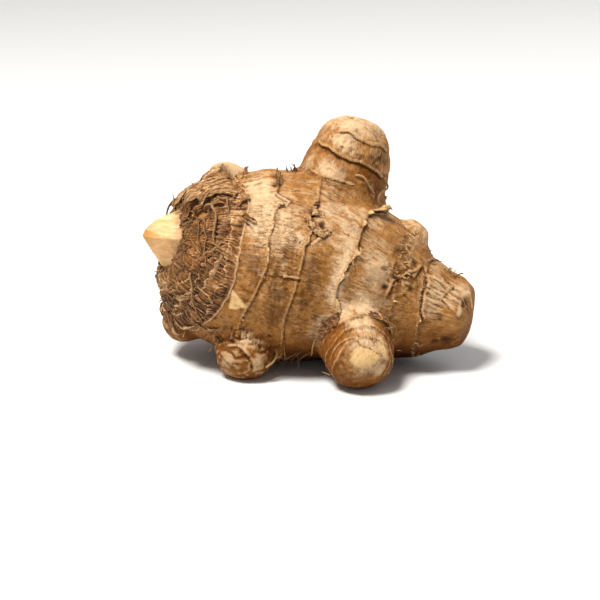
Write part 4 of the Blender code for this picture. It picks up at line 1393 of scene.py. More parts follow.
def buildTopSheet():
    chance = random.Random(31)
    rows = []
    count, across = 64, 30
    free, held = np.array(sheetFree, dtype=float), np.array(sheetHeld, dtype=float)
    stops = np.linspace(0, 1, len(free))
    for index in range(count + 1):
        part = index / count
        edge, root = [np.array([np.interp(part, stops, marks[:, k]) for k in range(3)])
                      for marks in (free, held)]
        tear = 1.0 + 0.09 * math.sin(part * 27) * math.sin(part * 12 + 1) + 0.03 * chance.uniform(-1, 1)
        row = []
        for k in range(across + 1):
            t = k / across
            s, a, _ = root + (edge - root) * t * tear
            pleat = 0.16 * math.sin(part * 26 + 2.2 * math.sin(t * 4)) + 0.20 * math.sin(part * 61 + t * 3)
            pleat += 0.06 * math.sin(part * 143 - t * 4)
            droop = 0.5 * max(0.0, t - 0.88) / 0.12 * (0.6 + 0.4 * math.sin(part * 23))
            height = root[2] + (edge[2] - root[2]) * t ** 1.3 + pleat * (0.35 + 0.65 * t) - droop
            row.append(aboveBark(s, a, height))
        rows.append(row)
    # each row's shade follows the pleats, lighter on their crests and darker in their folds: painted light
    # and shade
    shades = [0.52 + 0.22 * math.sin(row * 61 / count + 1.2) + 0.16 * math.sin(row * 143 / count)
              for row in range(count + 1)]
    return rows, shades


# torn flaps on the collar: mm along, degrees around, heading, length, width, lift, curl, shade
collarFlaps = (
    (-25.2, 57, 15, 4.5, 3.6, 1.1, 0.35, 0.42), (-24.0, 47, -25, 5.2, 3.0, 1.0, 0.45, 0.3),
    (-23.0, 42, -40, 3.8, 1.8, 0.9, 0.3, 0.05), (-26.4, 60, 170, 4.0, 2.6, 1.3, 0.5, 0.35),
    (-24.5, 88, 100, 4.0, 2.4, 1.6, 0.5, 0.55), (-21.0, 92, 60, 3.0, 2.0, 1.4, 0.6, 0.45),
    (-29.0, 79, 200, 3.5, 1.6, 1.9, 0.6, 0.5), (-31.2, -42, 185, 5.5, 2.4, 0.9, 0.3, 0.25),
    (-27.6, -46, 190, 5.0, 2.2, 0.8, 0.3, 0.4), (-25.5, -40, 200, 4.5, 1.8, 0.8, 0.4, 0.5),
    (-33.5, -60, 175, 4.0, 2.6, 1.2, 0.4, 0.2), (-29.5, 112, 170, 3.4, 2.4, 0.9, 0.4, 0.3),
    (-28.0, 140, 175, 6.5, 3.4, 1.2, 0.4, 0.35), (-30.0, 170, 185, 5.5, 3.0, 1.3, 0.5, 0.3),
    (-28.5, -150, 180, 6.0, 2.8, 1.1, 0.4, 0.4), (-29.0, -115, 180, 5.0, 2.4, 1.0, 0.4, 0.25),
    (-22.0, 72, 120, 2.6, 1.2, 1.0, 0.4, 0.6),
)


def looseShred(chance):  # a narrow shred torn along the growth, loose towards the stem
    share, degrees = chance.uniform(0.42, 0.95), chance.uniform(-180, 180)
    length, width = chance.uniform(0.18, 0.45), chance.uniform(0.3, 0.85)
    lift, drift, curl = chance.uniform(0.15, 1.1), chance.uniform(-16, 16), chance.uniform(-0.3, 0.8)
    if abs(degreesApart(degrees, 20)) < 55 and chance.random() < 0.5:
        lift *= 0.5
    rows = []
    for index in range(9):
        part = index / 8
        place, normal = barkAt(share - length * part, degrees + drift * part * part)
        ahead, _ = barkAt(share - length * part - 0.02, degrees + drift * part * part)
        side = (ahead - place).normalized().cross(normal).normalized()
        wide = width * (1 - 0.8 * part ** 2) * (1 + 0.3 * chance.uniform(-1, 1))
        middle = place + normal * (lift * part ** 1.5 - 0.05 + 0.12 * math.sin(part * 9 + degrees))
        rows.append([middle + side * (wide * off) + normal * (curl * wide * off * off * 4 * part)
                     for off in (-0.5, -0.17, 0.17, 0.5)])
    return rows, chance.uniform(0.0, 0.55)


def layeredEdge(chance, number, mostlyBelow):  # a loose edge that runs around the stem
    middle = chance.gauss(-90, 45) if mostlyBelow else chance.uniform(-180, 180)
    share, span = chance.uniform(0.12, 0.8), chance.uniform(14, 50)
    width, lift = chance.uniform(0.7, 2.0), chance.uniform(0.3, 0.9)
    rows = []
    count = max(8, int(span / 2.2))
    slant = chance.uniform(-0.12, 0.12)
    for index in range(count + 1):
        part = index / count
        swell = math.sin(math.pi * part) ** 0.6
        ragged = width * swell * 0.065 * (1 + 0.35 * math.sin(part * 29 + number))
        row = []
        for out in (0.0, 0.3, 0.65, 1.0):
            place, normal = barkAt(share + slant * (part - 0.5) - out * ragged, middle + span * (part - 0.5))
            row.append(place + normal * (lift * swell * out ** 1.3 - 0.08))
        rows.append(row)
    return rows, chance.choice((0.0, 0.08, 0.2, 0.45, 0.7))


def buildCollarShreds():
    chance = random.Random(5)
    strips = [buildTopSheet()]
    strips += [(flapRows(chance, flap), shade) for *flap, shade in collarFlaps]
    strips += [looseShred(chance) for _ in range(80)]
    strips += [layeredEdge(chance, number, number < 34) for number in range(46)]
    return makeStrips("collarShreds", strips, 0.12)


# strands that can be followed one by one: marks as (mm along, degrees around, mm high), radius, shade
longStrands = (
    (((-31.5, 70, 0.6), (-30.1, 63, 1.5), (-29.6, 56, 1.5), (-29.9, 50, 1.3), (-30.6, 37, 1.0), (-31.7, 29,
        0.8), (-31.0, 25, 0.7), (-29.7, 21, 0.9)), 0.4, 0.5),
    (((-29.2, 27, 0.5), (-30.9, 21, 0.7), (-32.5, 19, 0.8), (-34.0, 16, 0.7), (-35.2, 10, 0.6), (-36.0, 0,
        0.5)), 0.24, 0.6),
    (((-33.6, 54, 0.7), (-33.9, 46, 0.8), (-34.3, 36, 0.9), (-34.0, 26, 0.7), (-34.5, 14, 0.8), (-34.7, 4,
        0.7), (-33.4, -5, 0.6), (-33.9, -18, 0.5)), 0.18, 0.28),
    (((-32.6, 50, 0.5), (-33.2, 40, 0.6), (-33.0, 30, 0.6), (-33.6, 20, 0.6), (-32.6, 8, 0.7), (-32.9, -4,
        0.6), (-31.6, -12, 0.4)), 0.2, 0.42),
    (((-28.2, 66, 0.7), (-27.0, 60, 1.0), (-26.6, 52, 0.8), (-27.6, 47, 0.6), (-28.8, 49, 0.5)), 0.26,
        0.45),
    (((-36.0, -6, 0.4), (-35.3, -18, 0.6), (-34.4, -30, 0.6), (-33.0, -38, 0.5), (-31.5, -44, 0.4)), 0.3,
        0.55),
    (((-30.0, -20, 0.5), (-31.3, -14, 0.8), (-32.8, -12, 0.8), (-34.2, -15, 0.6)), 0.28, 0.7),
    (((-35.5, 96, 0.8), (-36.6, 92, 1.6), (-37.2, 96, 2.2), (-36.8, 101, 2.3)), 0.26, 0.45),
    (((-33.4, 104, 1.6), (-33.8, 106, 2.6), (-33.2, 108, 3.6)), 0.3, 0.6),
    (((-36.4, 84, 0.5), (-36.2, 74, 0.9), (-35.8, 64, 0.9), (-35.4, 54, 0.6)), 0.28, 0.35),
)


def longStrand(marks, radius, shade):
    path = resampled([aboveBark(*mark) for mark in marks], 34)
    spots = np.array([tuple(point) for point in path]) / 2.1
    sway = np.stack([waves(spots, seed) for seed in (71, 72, 73)], axis=1) * 0.45
    return [point + Vector(shift) for point, shift in zip(path, sway)], radius, shade


def tangledStrand(chance, mostlyFront):  # runs around the stem
    share = chance.uniform(0.05, 0.42)
    degrees = chance.gauss(20, 35) if mostlyFront else chance.uniform(-180, 180)
    way = chance.choice((-1, 1))
    height, sway = chance.uniform(0.1, 0.5), chance.uniform(0.06, 0.16)
    phase = chance.uniform(0, 6)
    path = []
    for index in range(chance.randint(9, 17)):
        place, normal = barkAt(share + sway * math.sin(phase + index * 0.55), degrees + way * index * 3.1)
        path.append(place + normal * (0.12 + height * abs(math.sin(index * 0.42 + phase))))
    return resampled(path, 22), chance.uniform(0.10, 0.24), chance.uniform(0.05, 0.50)


def tornFibre(chance):  # short and brown, torn beside the stub
    share, degrees = chance.uniform(0.0, 0.20), chance.uniform(-75, 95)
    heading, length = math.radians(chance.gauss(0, 55)), chance.uniform(0.05, 0.16)
    height, bend = chance.uniform(0.2, 1.1), chance.uniform(-18, 18)
    path = []
    for index in range(8):
        part = index / 7
        sideways = 14 * part * math.sin(heading) + bend * part ** 2
        place, normal = barkAt(share - length * part * math.cos(heading), degrees + sideways)
        path.append(place + normal * (0.05 + height * math.sin(part * 2.4)))
    return softened(path), chance.uniform(0.09, 0.24), chance.uniform(0.15, 0.62)


def fineHair(chance):  # along the growth
    share, degrees = chance.uniform(0.25, 0.98), chance.uniform(-180, 180)
    height, drift = chance.uniform(0.05, 0.7), chance.uniform(-1.2, 1.2)
    path = []
    for index in range(9):
        turned = degrees + drift * index + 1.2 * math.sin(index + degrees)
        place, normal = barkAt(share - 0.035 * index, turned)
        path.append(place + normal * (0.05 + height * (index / 8) ** 1.4))
    return softened(path), chance.uniform(0.05, 0.11), chance.uniform(0.05, 0.6)


def looseHook(chance):  # stands out on the outline
    share = chance.uniform(0.1, 0.6)
    degrees = chance.choice((chance.uniform(80, 140), chance.uniform(-140, -60)))
    start, normal = barkAt(share, degrees)
    side = (barkAt(share, degrees + 8)[0] - start).normalized()
    tall, hook = chance.uniform(0.8, 2.2), chance.uniform(-1.2, 1.2)
    path = []
    for part in (0, 0.2, 0.4, 0.6, 0.8, 1.0):
        back = Vector((-1, 0, 0)) * part * chance.uniform(0.2, 0.8)
        point = start + normal * (tall * math.sin(part * 1.9) - 0.1) + side * (hook * part ** 2 * 1.5)
        path.append(point + back)
    return resampled(path, 10), chance.uniform(0.10, 0.22), chance.uniform(0.05, 0.6)


def buildCollarFibres():
    chance = random.Random(9)
    fibres = [longStrand(*strand) for strand in longStrands]
    fibres += [tangledStrand(chance, number < 12) for number in range(16)]
    fibres += [tornFibre(chance) for _ in range(46)]
    fibres += [fineHair(chance) for _ in range(45)]
    fibres += [looseHook(chance) for _ in range(10)]
    return makeFibres("collarFibres", fibres)


# torn rims of the old scales
rimPlan = {
    "second": {"width": 0.24, "lift": 0.32, "shade": 0.62},
    "third": {"width": 0.3, "lift": 0.32, "shade": 0.62},
    "fourth": {"width": 0.62, "lift": 0.24, "shade": 0.85},
    "fifth": {"width": 0.1, "lift": 0.6, "shade": 0.45},
    "sixth": {"width": 0.18, "lift": 0.6, "shade": 0.6},
    "collarRim": {"width": 0.2, "lift": 0.55, "shade": 0.42},
}
# wider torn flaps: ring, degrees around, half width in degrees, extra mm, extra lift
rimFlaps = (
    ("third", 50, 4, 1.9, 0.3), ("second", 57, 3, 0.8, 0.2), ("fourth", 84, 5, 1.0, 0.6),
    ("fourth", 38, 3, 0.8, 0.4), ("second", 8, 3, 0.7, 0.4), ("third", -8, 3, 0.6, 0.4),
    ("fourth", -60, 8, 1.2, 0.4), ("second", 140, 8, 1.4, 0.4), ("third", -140, 9, 1.5, 0.4),
    ("fourth", 150, 8, 1.4, 0.4),
)


def flapExtra(ringName, around, which):
    return sum(flap[which] * math.exp(-((around - flap[1]) / flap[2]) ** 2)
               for flap in rimFlaps if flap[0] == ringName)


def unbroken(rows):  # (points, shade) rows cut into strips at every gap
    strips, run = [], []
    for row in rows + [None]:
        if row is not None:
            run.append(row)
            continue
        if len(run) > 3:
            strips.append(([points for points, _ in run], [shade for _, shade in run]))
        run = []
    return strips


def rimStrips(name, plan, seed):  # one ring's torn rim, broken where it meets a knob
    degrees = -180 + 360 * np.arange(421) / 420
    places = ringAlong(name, degrees)
    turn = np.radians(degrees)
    quick, middling, slow = [waves(onCircle(turn, size, seed * shift), seed + extra)
                             for size, shift, extra in ((21, 1.3, 0), (7, 3.7, 2), (2, 2.1, 5))]
    rows = []
    for index in range(len(degrees)):
        around = float(degrees[index])
        wide = plan["width"] + flapExtra(name, around, 3)
        wide *= 0.50 + 1.6 * slow[index] + 1.7 * middling[index] + 1.2 * quick[index]
        root, normal = surfaceAt(places[index] - 0.25, around)
        if wide < 0.10 or onKnob(root):
            rows.append(None)
            continue
        high = plan["lift"] + flapExtra(name, around, 4)
        high *= 0.7 + 0.8 * abs(middling[index]) + 0.4 * quick[index]
        way = growthHeading(places[index])
        points = [root - normal * 0.10 + way * (wide * part) + normal * (high * wide * math.sin(part * 2.3))
                  for part in (0.0, 0.35, 0.7, 1.0)]
        tone = np.clip(0.68 + 1.2 * middling[index] + 1.0 * quick[index], 0.1, 1.25)
        rows.append((points, float(plan["shade"] * tone)))
    return unbroken(rows)


# flaps away from the collar: mm along, degrees around, heading, length, width, lift, curl, shade
bodyFlaps = (
    (-3.0, 60, 20, 1.8, 1.5, 0.5, 0.5, 0.15), (-2.4, 57, -30, 1.6, 1.2, 0.5, 0.6, 0.3),
    (1.6, 43, 60, 1.8, 1.0, 0.7, 0.5, 0.8), (-14.2, 56, -10, 3.2, 2.6, 0.5, 0.2, 0.8),
    (-13.6, 71, 80, 2.6, 1.5, 0.6, 0.5, 0.2), (-12.8, 78, 100, 2.2, 1.2, 0.8, 0.5, 0.4),
    (-13.5, 84, 90, 1.8, 0.8, 1.2, 0.4, 0.35), (13.6, 82, 40, 3.0, 2.0, 0.9, 0.5, 0.8),
    (15.0, 84, 90, 2.2, 1.2, 1.2, 0.5, 0.7), (10.8, 37, -60, 2.8, 1.2, 0.7, 0.4, 0.75),
    (33.5, 88, 60, 2.2, 1.2, 1.0, 0.4, 0.75), (36.0, 92, 50, 2.4, 1.0, 1.2, 0.4, 0.6),
    (38.5, 66, -50, 4.6, 0.8, 0.5, 0.3, 0.9), (36.2, 52, 80, 3.2, 0.7, 0.5, 0.3, 0.85),
)
# flaps on knobs: knob, share of reach, degrees around, turn per mm, reach per mm, length, width, lift, shade
knobFlaps = (
    ("top", 0.5, 50, -0.8, -0.034, 6.0, 2.2, 0.7, 0.45),
    ("front", 0.36, 118, 4.2, 0.01, 5.0, 1.8, 1.2, 0.45),
    ("front", 0.38, 106, 4.0, 0.012, 3.2, 1.2, 0.8, 0.3),
    ("front", 0.42, 138, 3.0, 0.014, 4.0, 1.4, 1.3, 0.3), ("left", 0.5, 60, 4.0, 0.01, 3.5, 1.4, 0.8, 0.15),
    ("left", 0.55, 110, 4.0, 0.01, 3.0, 1.2, 0.8, 0.5), ("left", 0.45, 30, 3.0, 0.01, 3.0, 1.2, 0.8, 0.35),
    ("topBud", 0.5, 20, 4.0, 0.01, 2.2, 0.8, 0.7, 0.55), ("back", 0.45, 60, 3.0, 0.01, 5.0, 2.0, 1.0, 0.45),
    ("backFoot", 0.45, 60, 3.0, 0.01, 4.0, 1.6, 0.9, 0.45),
)


def onKnobAt(name, reach, degrees):  # point and outward direction on a knob's skin, and the knob's own way
    root, tip, way, side, other = knobFrame(name)
    radius = knobs[name]["radius"]
    turn = math.radians(degrees)
    out = Vector(side * math.cos(turn) + other * math.sin(turn))
    centre = Vector(root + (tip - root) * min(reach, 0.9))
    if reach > 0.9:
        out = (out + Vector(way) * (reach - 0.9) * 8).normalized()
    hit, normal, _, _ = skinTree.ray_cast(centre + out * radius * 1.8, -out)
    return (hit, normal, Vector(way)) if hit is not None else (centre + out * radius, out, Vector(way))


def knobFlapRows(chance, name, reach, degrees, turnPer, reachPer, length, width, lift):
    rows = []
    phase = chance.uniform(0, 9)
    for index in range(12):
        part = index / 11
        run = length * part
        place, normal, _ = onKnobAt(name, reach + reachPer * run, degrees + turnPer * run)
        ahead, _, _ = onKnobAt(name, reach + reachPer * (run + 0.4), degrees + turnPer * (run + 0.4))
        side = (ahead - place).normalized().cross(normal).normalized()
        ragged = 1 + 0.25 * math.sin(part * 15 + phase) + 0.1 * chance.uniform(-1, 1)
        wide = width * (1 - 0.8 * part ** 2) * ragged
        rise = lift * part ** 1.4 + 0.08 * math.sin(part * 12 + phase) - 0.1
        rows.append([place + side * (wide * off) + normal * (rise + 0.3 * wide * off * off * 4 * part)
                     for off in (-0.5, -0.25, 0.0, 0.25, 0.5)])
    return rows


# papery leaves between two edges: marks of the outer and inner edge as fractions of the box, mm high, shade
leaves = (
    (((0.518, 0.175, 0.175), (0.524, 0.166, 0.206), (0.529, 0.157, 0.251), (0.54, 0.154, 0.285), (0.568,
        0.148, 0.303), (0.588, 0.15, 0.322)), ((0.53, 0.15, 0.18), (0.545, 0.128, 0.215), (0.556, 0.118,
        0.238), (0.568, 0.112, 0.255), (0.582, 0.11, 0.27), (0.592, 0.14, 0.31)), 0.75, 0.22),
    (((0.492, 0.24, 0.672), (0.506, 0.226, 0.648), (0.52, 0.214, 0.622), (0.54, 0.214, 0.607), (0.56, 0.226,
        0.614)), ((0.5, 0.24, 0.68), (0.516, 0.24, 0.662), (0.53, 0.234, 0.64), (0.545, 0.23, 0.63), (0.558,
        0.234, 0.632)), 0.55, 0.6),
)


def leafRows(chance, outer, inner, high):
    rows = []
    stops = np.linspace(0, 1, len(outer))
    edges = [np.array([spotIn(mark) for mark in marks]) for marks in (outer, inner)]
    for index in range(31):
        part = index / 30
        start, end = [Vector([np.interp(part, stops, edge[:, k]) for k in range(3)]) for edge in edges]
        wander = Vector((0.2 * math.sin(part * 31), 0, 0.25 * math.sin(part * 23 + 1)))
        row = []
        for k in range(9):
            across = k / 8
            near, normal, _, _ = skinTree.find_nearest(start.lerp(end, across) + wander)
            crumple = 0.16 * math.sin(part * 19 + across * 5) + 0.12 * math.sin(part * 43 - across * 9)
            crumple += 0.04 * chance.uniform(-1, 1)
            rise = high * (0.35 + 0.65 * math.sin(math.pi * part)) * (1 - across) ** 0.7
            row.append(near + normal * (rise + crumple * (1 - across) + 0.06))
        rows.append(row[::-1])
    return rows


def knobRimStrips(name, ring):  # the papery edge of a knob's scale
    degrees = -180 + 360 * np.arange(151) / 150
    shares = knobRingAt(name, degrees)
    turn = np.radians(degrees)
    tear = waves(onCircle(turn, 5, len(name)), 3) + 0.6 * waves(onCircle(turn, 14, len(name)), 4)
    rows = []
    for index in range(len(degrees)):
        wide = ring["lip"] * 1.2 * (0.35 + 1.2 * tear[index])
        share = float(shares[index]) + 0.012 * ring["side"]
        place, normal, way = onKnobAt(ring["knob"], share, float(degrees[index]))
        if wide < 0.12 or place.z < 0.4:
            rows.append(None)
            continue
        points = [place - normal * 0.08 - way * (ring["side"] * wide * part)
                  + normal * (0.55 * wide * math.sin(part * 2.2)) for part in (0.0, 0.35, 0.7, 1.0)]
        rows.append((points, 0.6))
    return unbroken(rows)


def buildRims():
    chance = random.Random(17)
    strips = []
    for number, (name, plan) in enumerate(rimPlan.items()):
        strips += rimStrips(name, plan, number + 1.0)
    strips += [(flapRows(chance, flap, rows=10, across=5), shade) for *flap, shade in bodyFlaps]
    for outer, inner, high, shade in leaves:
        shades = [shade + 0.22 * math.sin(row * 1.7) * math.sin(row * 0.6 + 1) for row in range(31)]
        strips.append((leafRows(chance, outer, inner, high), shades))
    strips += [(knobFlapRows(chance, *place), shade) for *place, shade in knobFlaps]
    for name, ring in knobRings.items():
        if knobs[ring["knob"]]["radius"] >= 6:
            strips += knobRimStrips(name, ring)
    return makeStrips("scaleRims", strips, 0.12)


def buildFlakes():  # tiny curled flakes of skin by the scars and in the rough zone
    chance = random.Random(23)
    strips = []
    names = list(scarRings)
    while len(strips) < 300:
        if chance.random() < 0.66:
            name = chance.choice(names)
            around = chance.uniform(-180, 180)
            along = float(ringAlong(name, np.array([around]))[0]) + chance.gauss(-0.2, 0.5)
        elif chance.random() < 0.25:
            along, around = chance.gauss(24.5, 2.4), chance.gauss(44, 20)
        else:
            along, around = chance.uniform(-22, 40), chance.uniform(-180, 180)
        root, _ = surfaceAt(along, around)
        if onKnob(root, -1.0) or root.z < 1.0:
            continue
        size = chance.uniform(0.5, 1.5)
        heading = chance.gauss(0, 35) if chance.random() < 0.6 else chance.uniform(0, 360)
        width, lift, curl = size * chance.uniform(0.3, 0.7), chance.uniform(0.12, 0.5), chance.uniform(0, 0.6)
        rows = flapRows(chance, (along, around, heading, size, width, lift, curl), rows=4, across=3)
        strips.append((rows, chance.choice((0.1, 0.35, 0.6, 0.8, 0.95))))
    return makeStrips("skinFlakes", strips, 0.08)


# bunches of hairs: mm along, degrees around, spread in mm, how many, length, radius, shade,
# lean towards the far tip, lean upwards
hairBunches = (
    (-8.5, 97, 0.9, 8, 3.2, 0.22, 0.02, 0.2, 0.9), (-7.0, 97, 0.7, 6, 3.4, 0.2, 0.05, 0.1, 0.9),
    (-9.8, 96, 1.0, 3, 2.2, 0.14, 0.1, 0.0, 0.7), (34.0, 92, 0.8, 3, 2.6, 0.18, 0.7, 0.1, 0.7),
    (27.5, 88, 0.6, 2, 3.2, 0.2, 0.75, 0.2, 0.8), (4.5, -42, 1.5, 5, 4.5, 0.14, 0.25, -0.8, 0.1),
    (1.0, -50, 2.0, 5, 4.5, 0.12, 0.15, -0.9, 0.0), (23.5, -22, 1.2, 5, 3.2, 0.15, 0.45, 0.8, 0.3),
    (27.0, -16, 1.5, 4, 2.4, 0.13, 0.6, 0.6, 0.1), (-24.5, -45, 2.0, 8, 3.2, 0.15, 0.2, -0.7, -0.2),
    (-9.0, -44, 1.6, 6, 3.0, 0.14, 0.2, 0.6, -0.1), (-22.5, 90, 1.2, 6, 2.0, 0.2, 0.4, 0.1, 0.5),
    (18.5, 86, 0.8, 3, 1.6, 0.12, 0.6, 0.2, 0.5), (-6.0, 160, 2.0, 6, 2.4, 0.14, 0.3, 0.3, 0.3),
    (20.0, 170, 2.5, 7, 2.6, 0.14, 0.4, 0.3, 0.3), (10.0, -110, 3.0, 8, 2.6, 0.13, 0.3, 0.4, 0.0),
)
# places on knobs where hairs grow: knob, share of reach, degrees around it
knobHairs = (
    ("left", 0.45, 20), ("left", 0.5, 160), ("left", 0.4, 90), ("front", 0.4, 20), ("front", 0.5, 150),
    ("topBud", 0.6, 0), ("backFoot", 0.4, 90), ("back", 0.4, 0),
)
# curled strands by the knobs: marks as fractions of the box with mm high, radius, shade
curledStrands = (
    (((0.636, 0.428, 0.802, 0.2), (0.652, 0.435, 0.8, 0.6), (0.663, 0.437, 0.783, 0.7), (0.669, 0.438,
        0.766, 0.6), (0.678, 0.444, 0.748, 0.5), (0.687, 0.451, 0.725, 0.5), (0.694, 0.462, 0.71, 0.3)),
        0.34, 0.85),
    (((0.719, 0.504, 0.771, 0.4), (0.725, 0.513, 0.748, 1.0), (0.728, 0.531, 0.722, 1.2), (0.716, 0.497,
        0.712, 1.0), (0.702, 0.474, 0.706, 0.8), (0.696, 0.461, 0.685, 0.7), (0.7, 0.455, 0.66, 0.8),
        (0.717, 0.479, 0.647, 1.0)), 0.3, 0.55),
    (((0.368, 0.165, 0.07, 0.6), (0.38, 0.185, 0.087, 1.4), (0.392, 0.205, 0.11, 1.6), (0.397, 0.215, 0.135,
        0.8)), 0.36, 0.65),
    (((0.382, 0.19, 0.09, 1.2), (0.4, 0.195, 0.108, 2.2), (0.418, 0.2, 0.116, 3.0)), 0.22, 0.45),
    (((0.52, 0.17, 0.19, 0.5), (0.526, 0.186, 0.16, 1.2), (0.514, 0.215, 0.13, 1.6), (0.503, 0.24, 0.115,
        1.2)), 0.22, 0.7),
    (((0.7, 0.165, 0.3, 0.3), (0.706, 0.15, 0.288, 1.0), (0.702, 0.145, 0.27, 1.2), (0.692, 0.14, 0.266,
        0.8)), 0.3, 0.9),
    (((0.722, 0.175, 0.285, 0.3), (0.74, 0.18, 0.262, 1.0), (0.75, 0.19, 0.235, 1.4), (0.746, 0.19, 0.205,
        1.0)), 0.24, 0.6),
    (((0.56, 0.08, 0.07, 0.4), (0.545, 0.07, 0.078, 1.2), (0.53, 0.07, 0.084, 2.0)), 0.18, 0.65),
)


def offGround(path):
    for point in path:
        point.z = max(point.z, 0.25)
    return path


def bunchHair(chance, bunch):  # one hair of a bunch, or none where it would grow on a knob
    along, around, spreadMm, _, length, radius, shade, leanAlong, leanUp = bunch
    s = along + chance.gauss(0, spreadMm)
    start, normal = surfaceAt(s, around + chance.gauss(0, spreadMm * 2.5))
    if onKnob(start, -1.5):
        return []
    way = growthHeading(s)
    side = way.cross(normal).normalized()
    heading = normal * 0.8 + way * leanAlong + Vector((0, 0, 1)) * leanUp + side * chance.uniform(-0.5, 0.5)
    heading.normalize()
    bend = side * chance.uniform(-1, 1) + way * chance.uniform(-0.6, 0.6) - Vector((0, 0, 0.5))
    bend.normalize()
    long = length * chance.uniform(0.5, 1.2)
    path = offGround([start - normal * 0.2 + heading * (long * part) + bend * (long * 0.45 * part ** 2)
                      for part in (0, 0.15, 0.3, 0.5, 0.7, 0.85, 1.0)])
    return [(path, radius * chance.uniform(0.6, 1.2), min(1.0, max(0.0, shade + chance.uniform(-0.1, 0.2))))]


def knobHair(chance, name, reach, degrees):
    share = reach + chance.uniform(-0.05, 0.05)
    place, normal, way = onKnobAt(name, share, degrees + chance.uniform(-25, 25))
    side = way.cross(normal).normalized()
    heading = (normal + way * chance.uniform(-0.5, 0.5) + side * chance.uniform(-0.9, 0.9)).normalized()
    long = chance.uniform(1.5, 4.0)
    down = Vector((0, 0, -1))
    path = offGround([place - normal * 0.2 + heading * (long * part) + down * (long * 0.35 * part ** 2)
                      for part in (0, 0.2, 0.4, 0.6, 0.8, 1.0)])
    return path, chance.uniform(0.08, 0.15), chance.uniform(0.1, 0.7)


def curledStrand(marks, radius, shade):
    path = []
    for *spot, high in marks:
        near, normal, _, _ = skinTree.find_nearest(Vector(spotIn(spot)))
        path.append(near + normal * high)
    return resampled(path, 22), radius, shade


def buildRootlets():
    chance = random.Random(41)
    fibres = []
    for bunch in hairBunches:
        for _ in range(bunch[3]):
            fibres += bunchHair(chance, bunch)
    for place in knobHairs:
        fibres += [knobHair(chance, *place) for _ in range(5)]
    fibres += [curledStrand(*strand) for strand in curledStrands]
    return makeFibres("rootHairs", fibres)


def buildFleshMaterial():
    material, tree, shader = startMaterial("cutFlesh")
    place = placeInMm(tree)
    streak = streaks(tree, place, 7.0, 0.7, 1.0)
    soil = stain(tree, place, 0.42, 0.5, 2.2)
    cut = mixed(tree, spread(tree, streak, 0.35, 0.65), colour(0.86, 0.58, 0.32), colour(0.68, 0.39, 0.15))
    cut = coated(tree, cut, (
        (times(tree, soil, 0.35), colour(0.56, 0.30, 0.09)),
        (times(tree, maskOf(tree, "ochre"), 0.9), colour(0.52, 0.235, 0.036)),
        (times(tree, maskOf(tree, "rim"), 0.9), colour(0.26, 0.110, 0.03)),
    ))
    torn = mixed(tree, soil, colour(0.36, 0.165, 0.045), colour(0.15, 0.058, 0.014))
    shader.inputs["Roughness"].default_value = 0.48
    shader.inputs["Subsurface Weight"].default_value = 0.10
    shader.inputs["Subsurface Radius"].default_value = (0.004, 0.0022, 0.001)
    shader.inputs["Subsurface Scale"].default_value = 0.5
    finishMaterial(tree, shader, mixed(tree, maskOf(tree, "cut"), torn, cut), 0.5, streak, 0.4, 0.0004)
    return material


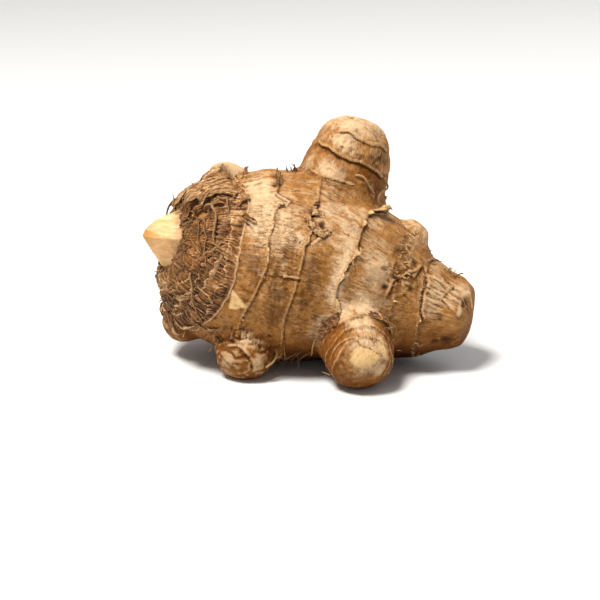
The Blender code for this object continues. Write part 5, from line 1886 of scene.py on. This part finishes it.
def buildBarkMaterial():
    material, tree, shader = startMaterial("collarBarkSkin")
    crease = maskOf(tree, "crease")
    streak = streaks(tree, growthOf(tree), 3.0, 0.30, 1.2)
    soil = stain(tree, placeInMm(tree), 0.46, crease, 1.3)
    shade = plus(tree, maskOf(tree, "shade"), times(tree, minus(tree, streak, 0.5), 1.9))
    base = mixed(tree, spread(tree, shade, 0.05, 0.48),
                 colour(0.044, 0.016, 0.005), colour(0.25, 0.106, 0.035))
    base = coated(tree, base, (
        (spread(tree, shade, 0.45, 1.0), colour(0.64, 0.39, 0.18)),
        (times(tree, maskOf(tree, "warm"), 0.75), colour(0.33, 0.125, 0.022)),
        (times(tree, soil, 0.5), colour(0.095, 0.040, 0.016)),
        # painted shade in creases and pits, painted highlight on ridges
        (spread(tree, crease, 0.52, 0.80, 0.0, 0.95), colour(0.022, 0.009, 0.004)),
        (spread(tree, crease, 0.43, 0.14, 0.0, 0.7), colour(0.62, 0.41, 0.23)),
        (times(tree, maskOf(tree, "pit"), 0.92), colour(0.016, 0.006, 0.003)),
    ))
    shader.inputs["Roughness"].default_value = 0.68
    finishMaterial(tree, shader, base, 0.12, streak, 0.7, 0.0006)
    return material


def buildScaleMaterial():
    material, tree, shader = startMaterial("dryScalePaper")
    place = placeInMm(tree)
    streak = streaks(tree, place, 3.0, 0.45, 1.5)
    soil = stain(tree, place, 0.47, 0.5, 1.2)
    shade = plus(tree, maskOf(tree, "shade"), times(tree, minus(tree, streak, 0.5), 1.8))
    base = mixed(tree, spread(tree, shade, 0.0, 0.45),
                 colour(0.042, 0.017, 0.007), colour(0.26, 0.120, 0.043))
    base = coated(tree, base, (
        (spread(tree, shade, 0.45, 1.0), colour(0.69, 0.45, 0.235)),
        (times(tree, soil, 0.5), colour(0.15, 0.065, 0.026)),
        (times(tree, spread(tree, maskOf(tree, "edge"), 0.75, 1.0), 0.3), colour(0.52, 0.33, 0.18)),
    ))
    shader.inputs["Roughness"].default_value = 0.7
    finishMaterial(tree, shader, base, 0.12, streak, 0.6, 0.0004)
    return material


def buildFibreMaterial():
    material, tree, shader = startMaterial("dryFibre")
    soil = stain(tree, placeInMm(tree), 0.45, 0.5, 1.0)
    base = mixed(tree, maskOf(tree, "shade"), colour(0.045, 0.018, 0.007), colour(0.55, 0.315, 0.135))
    base = mixed(tree, times(tree, soil, 0.45), base, colour(0.11, 0.048, 0.02))
    tree.links.new(base, shader.inputs["Base Color"])
    shader.inputs["Roughness"].default_value = 0.65
    shader.inputs["Specular IOR Level"].default_value = 0.12
    return material


scalePaper = buildScaleMaterial()
dryFibre = buildFibreMaterial()
finishPiece(stub, buildFleshMaterial())
finishPiece(bark, buildBarkMaterial())
for builder in (buildCollarShreds, buildRims, buildFlakes):
    finishPiece(builder(), scalePaper)
for builder in (buildCollarFibres, buildRootlets):
    finishPiece(builder(), dryFibre)
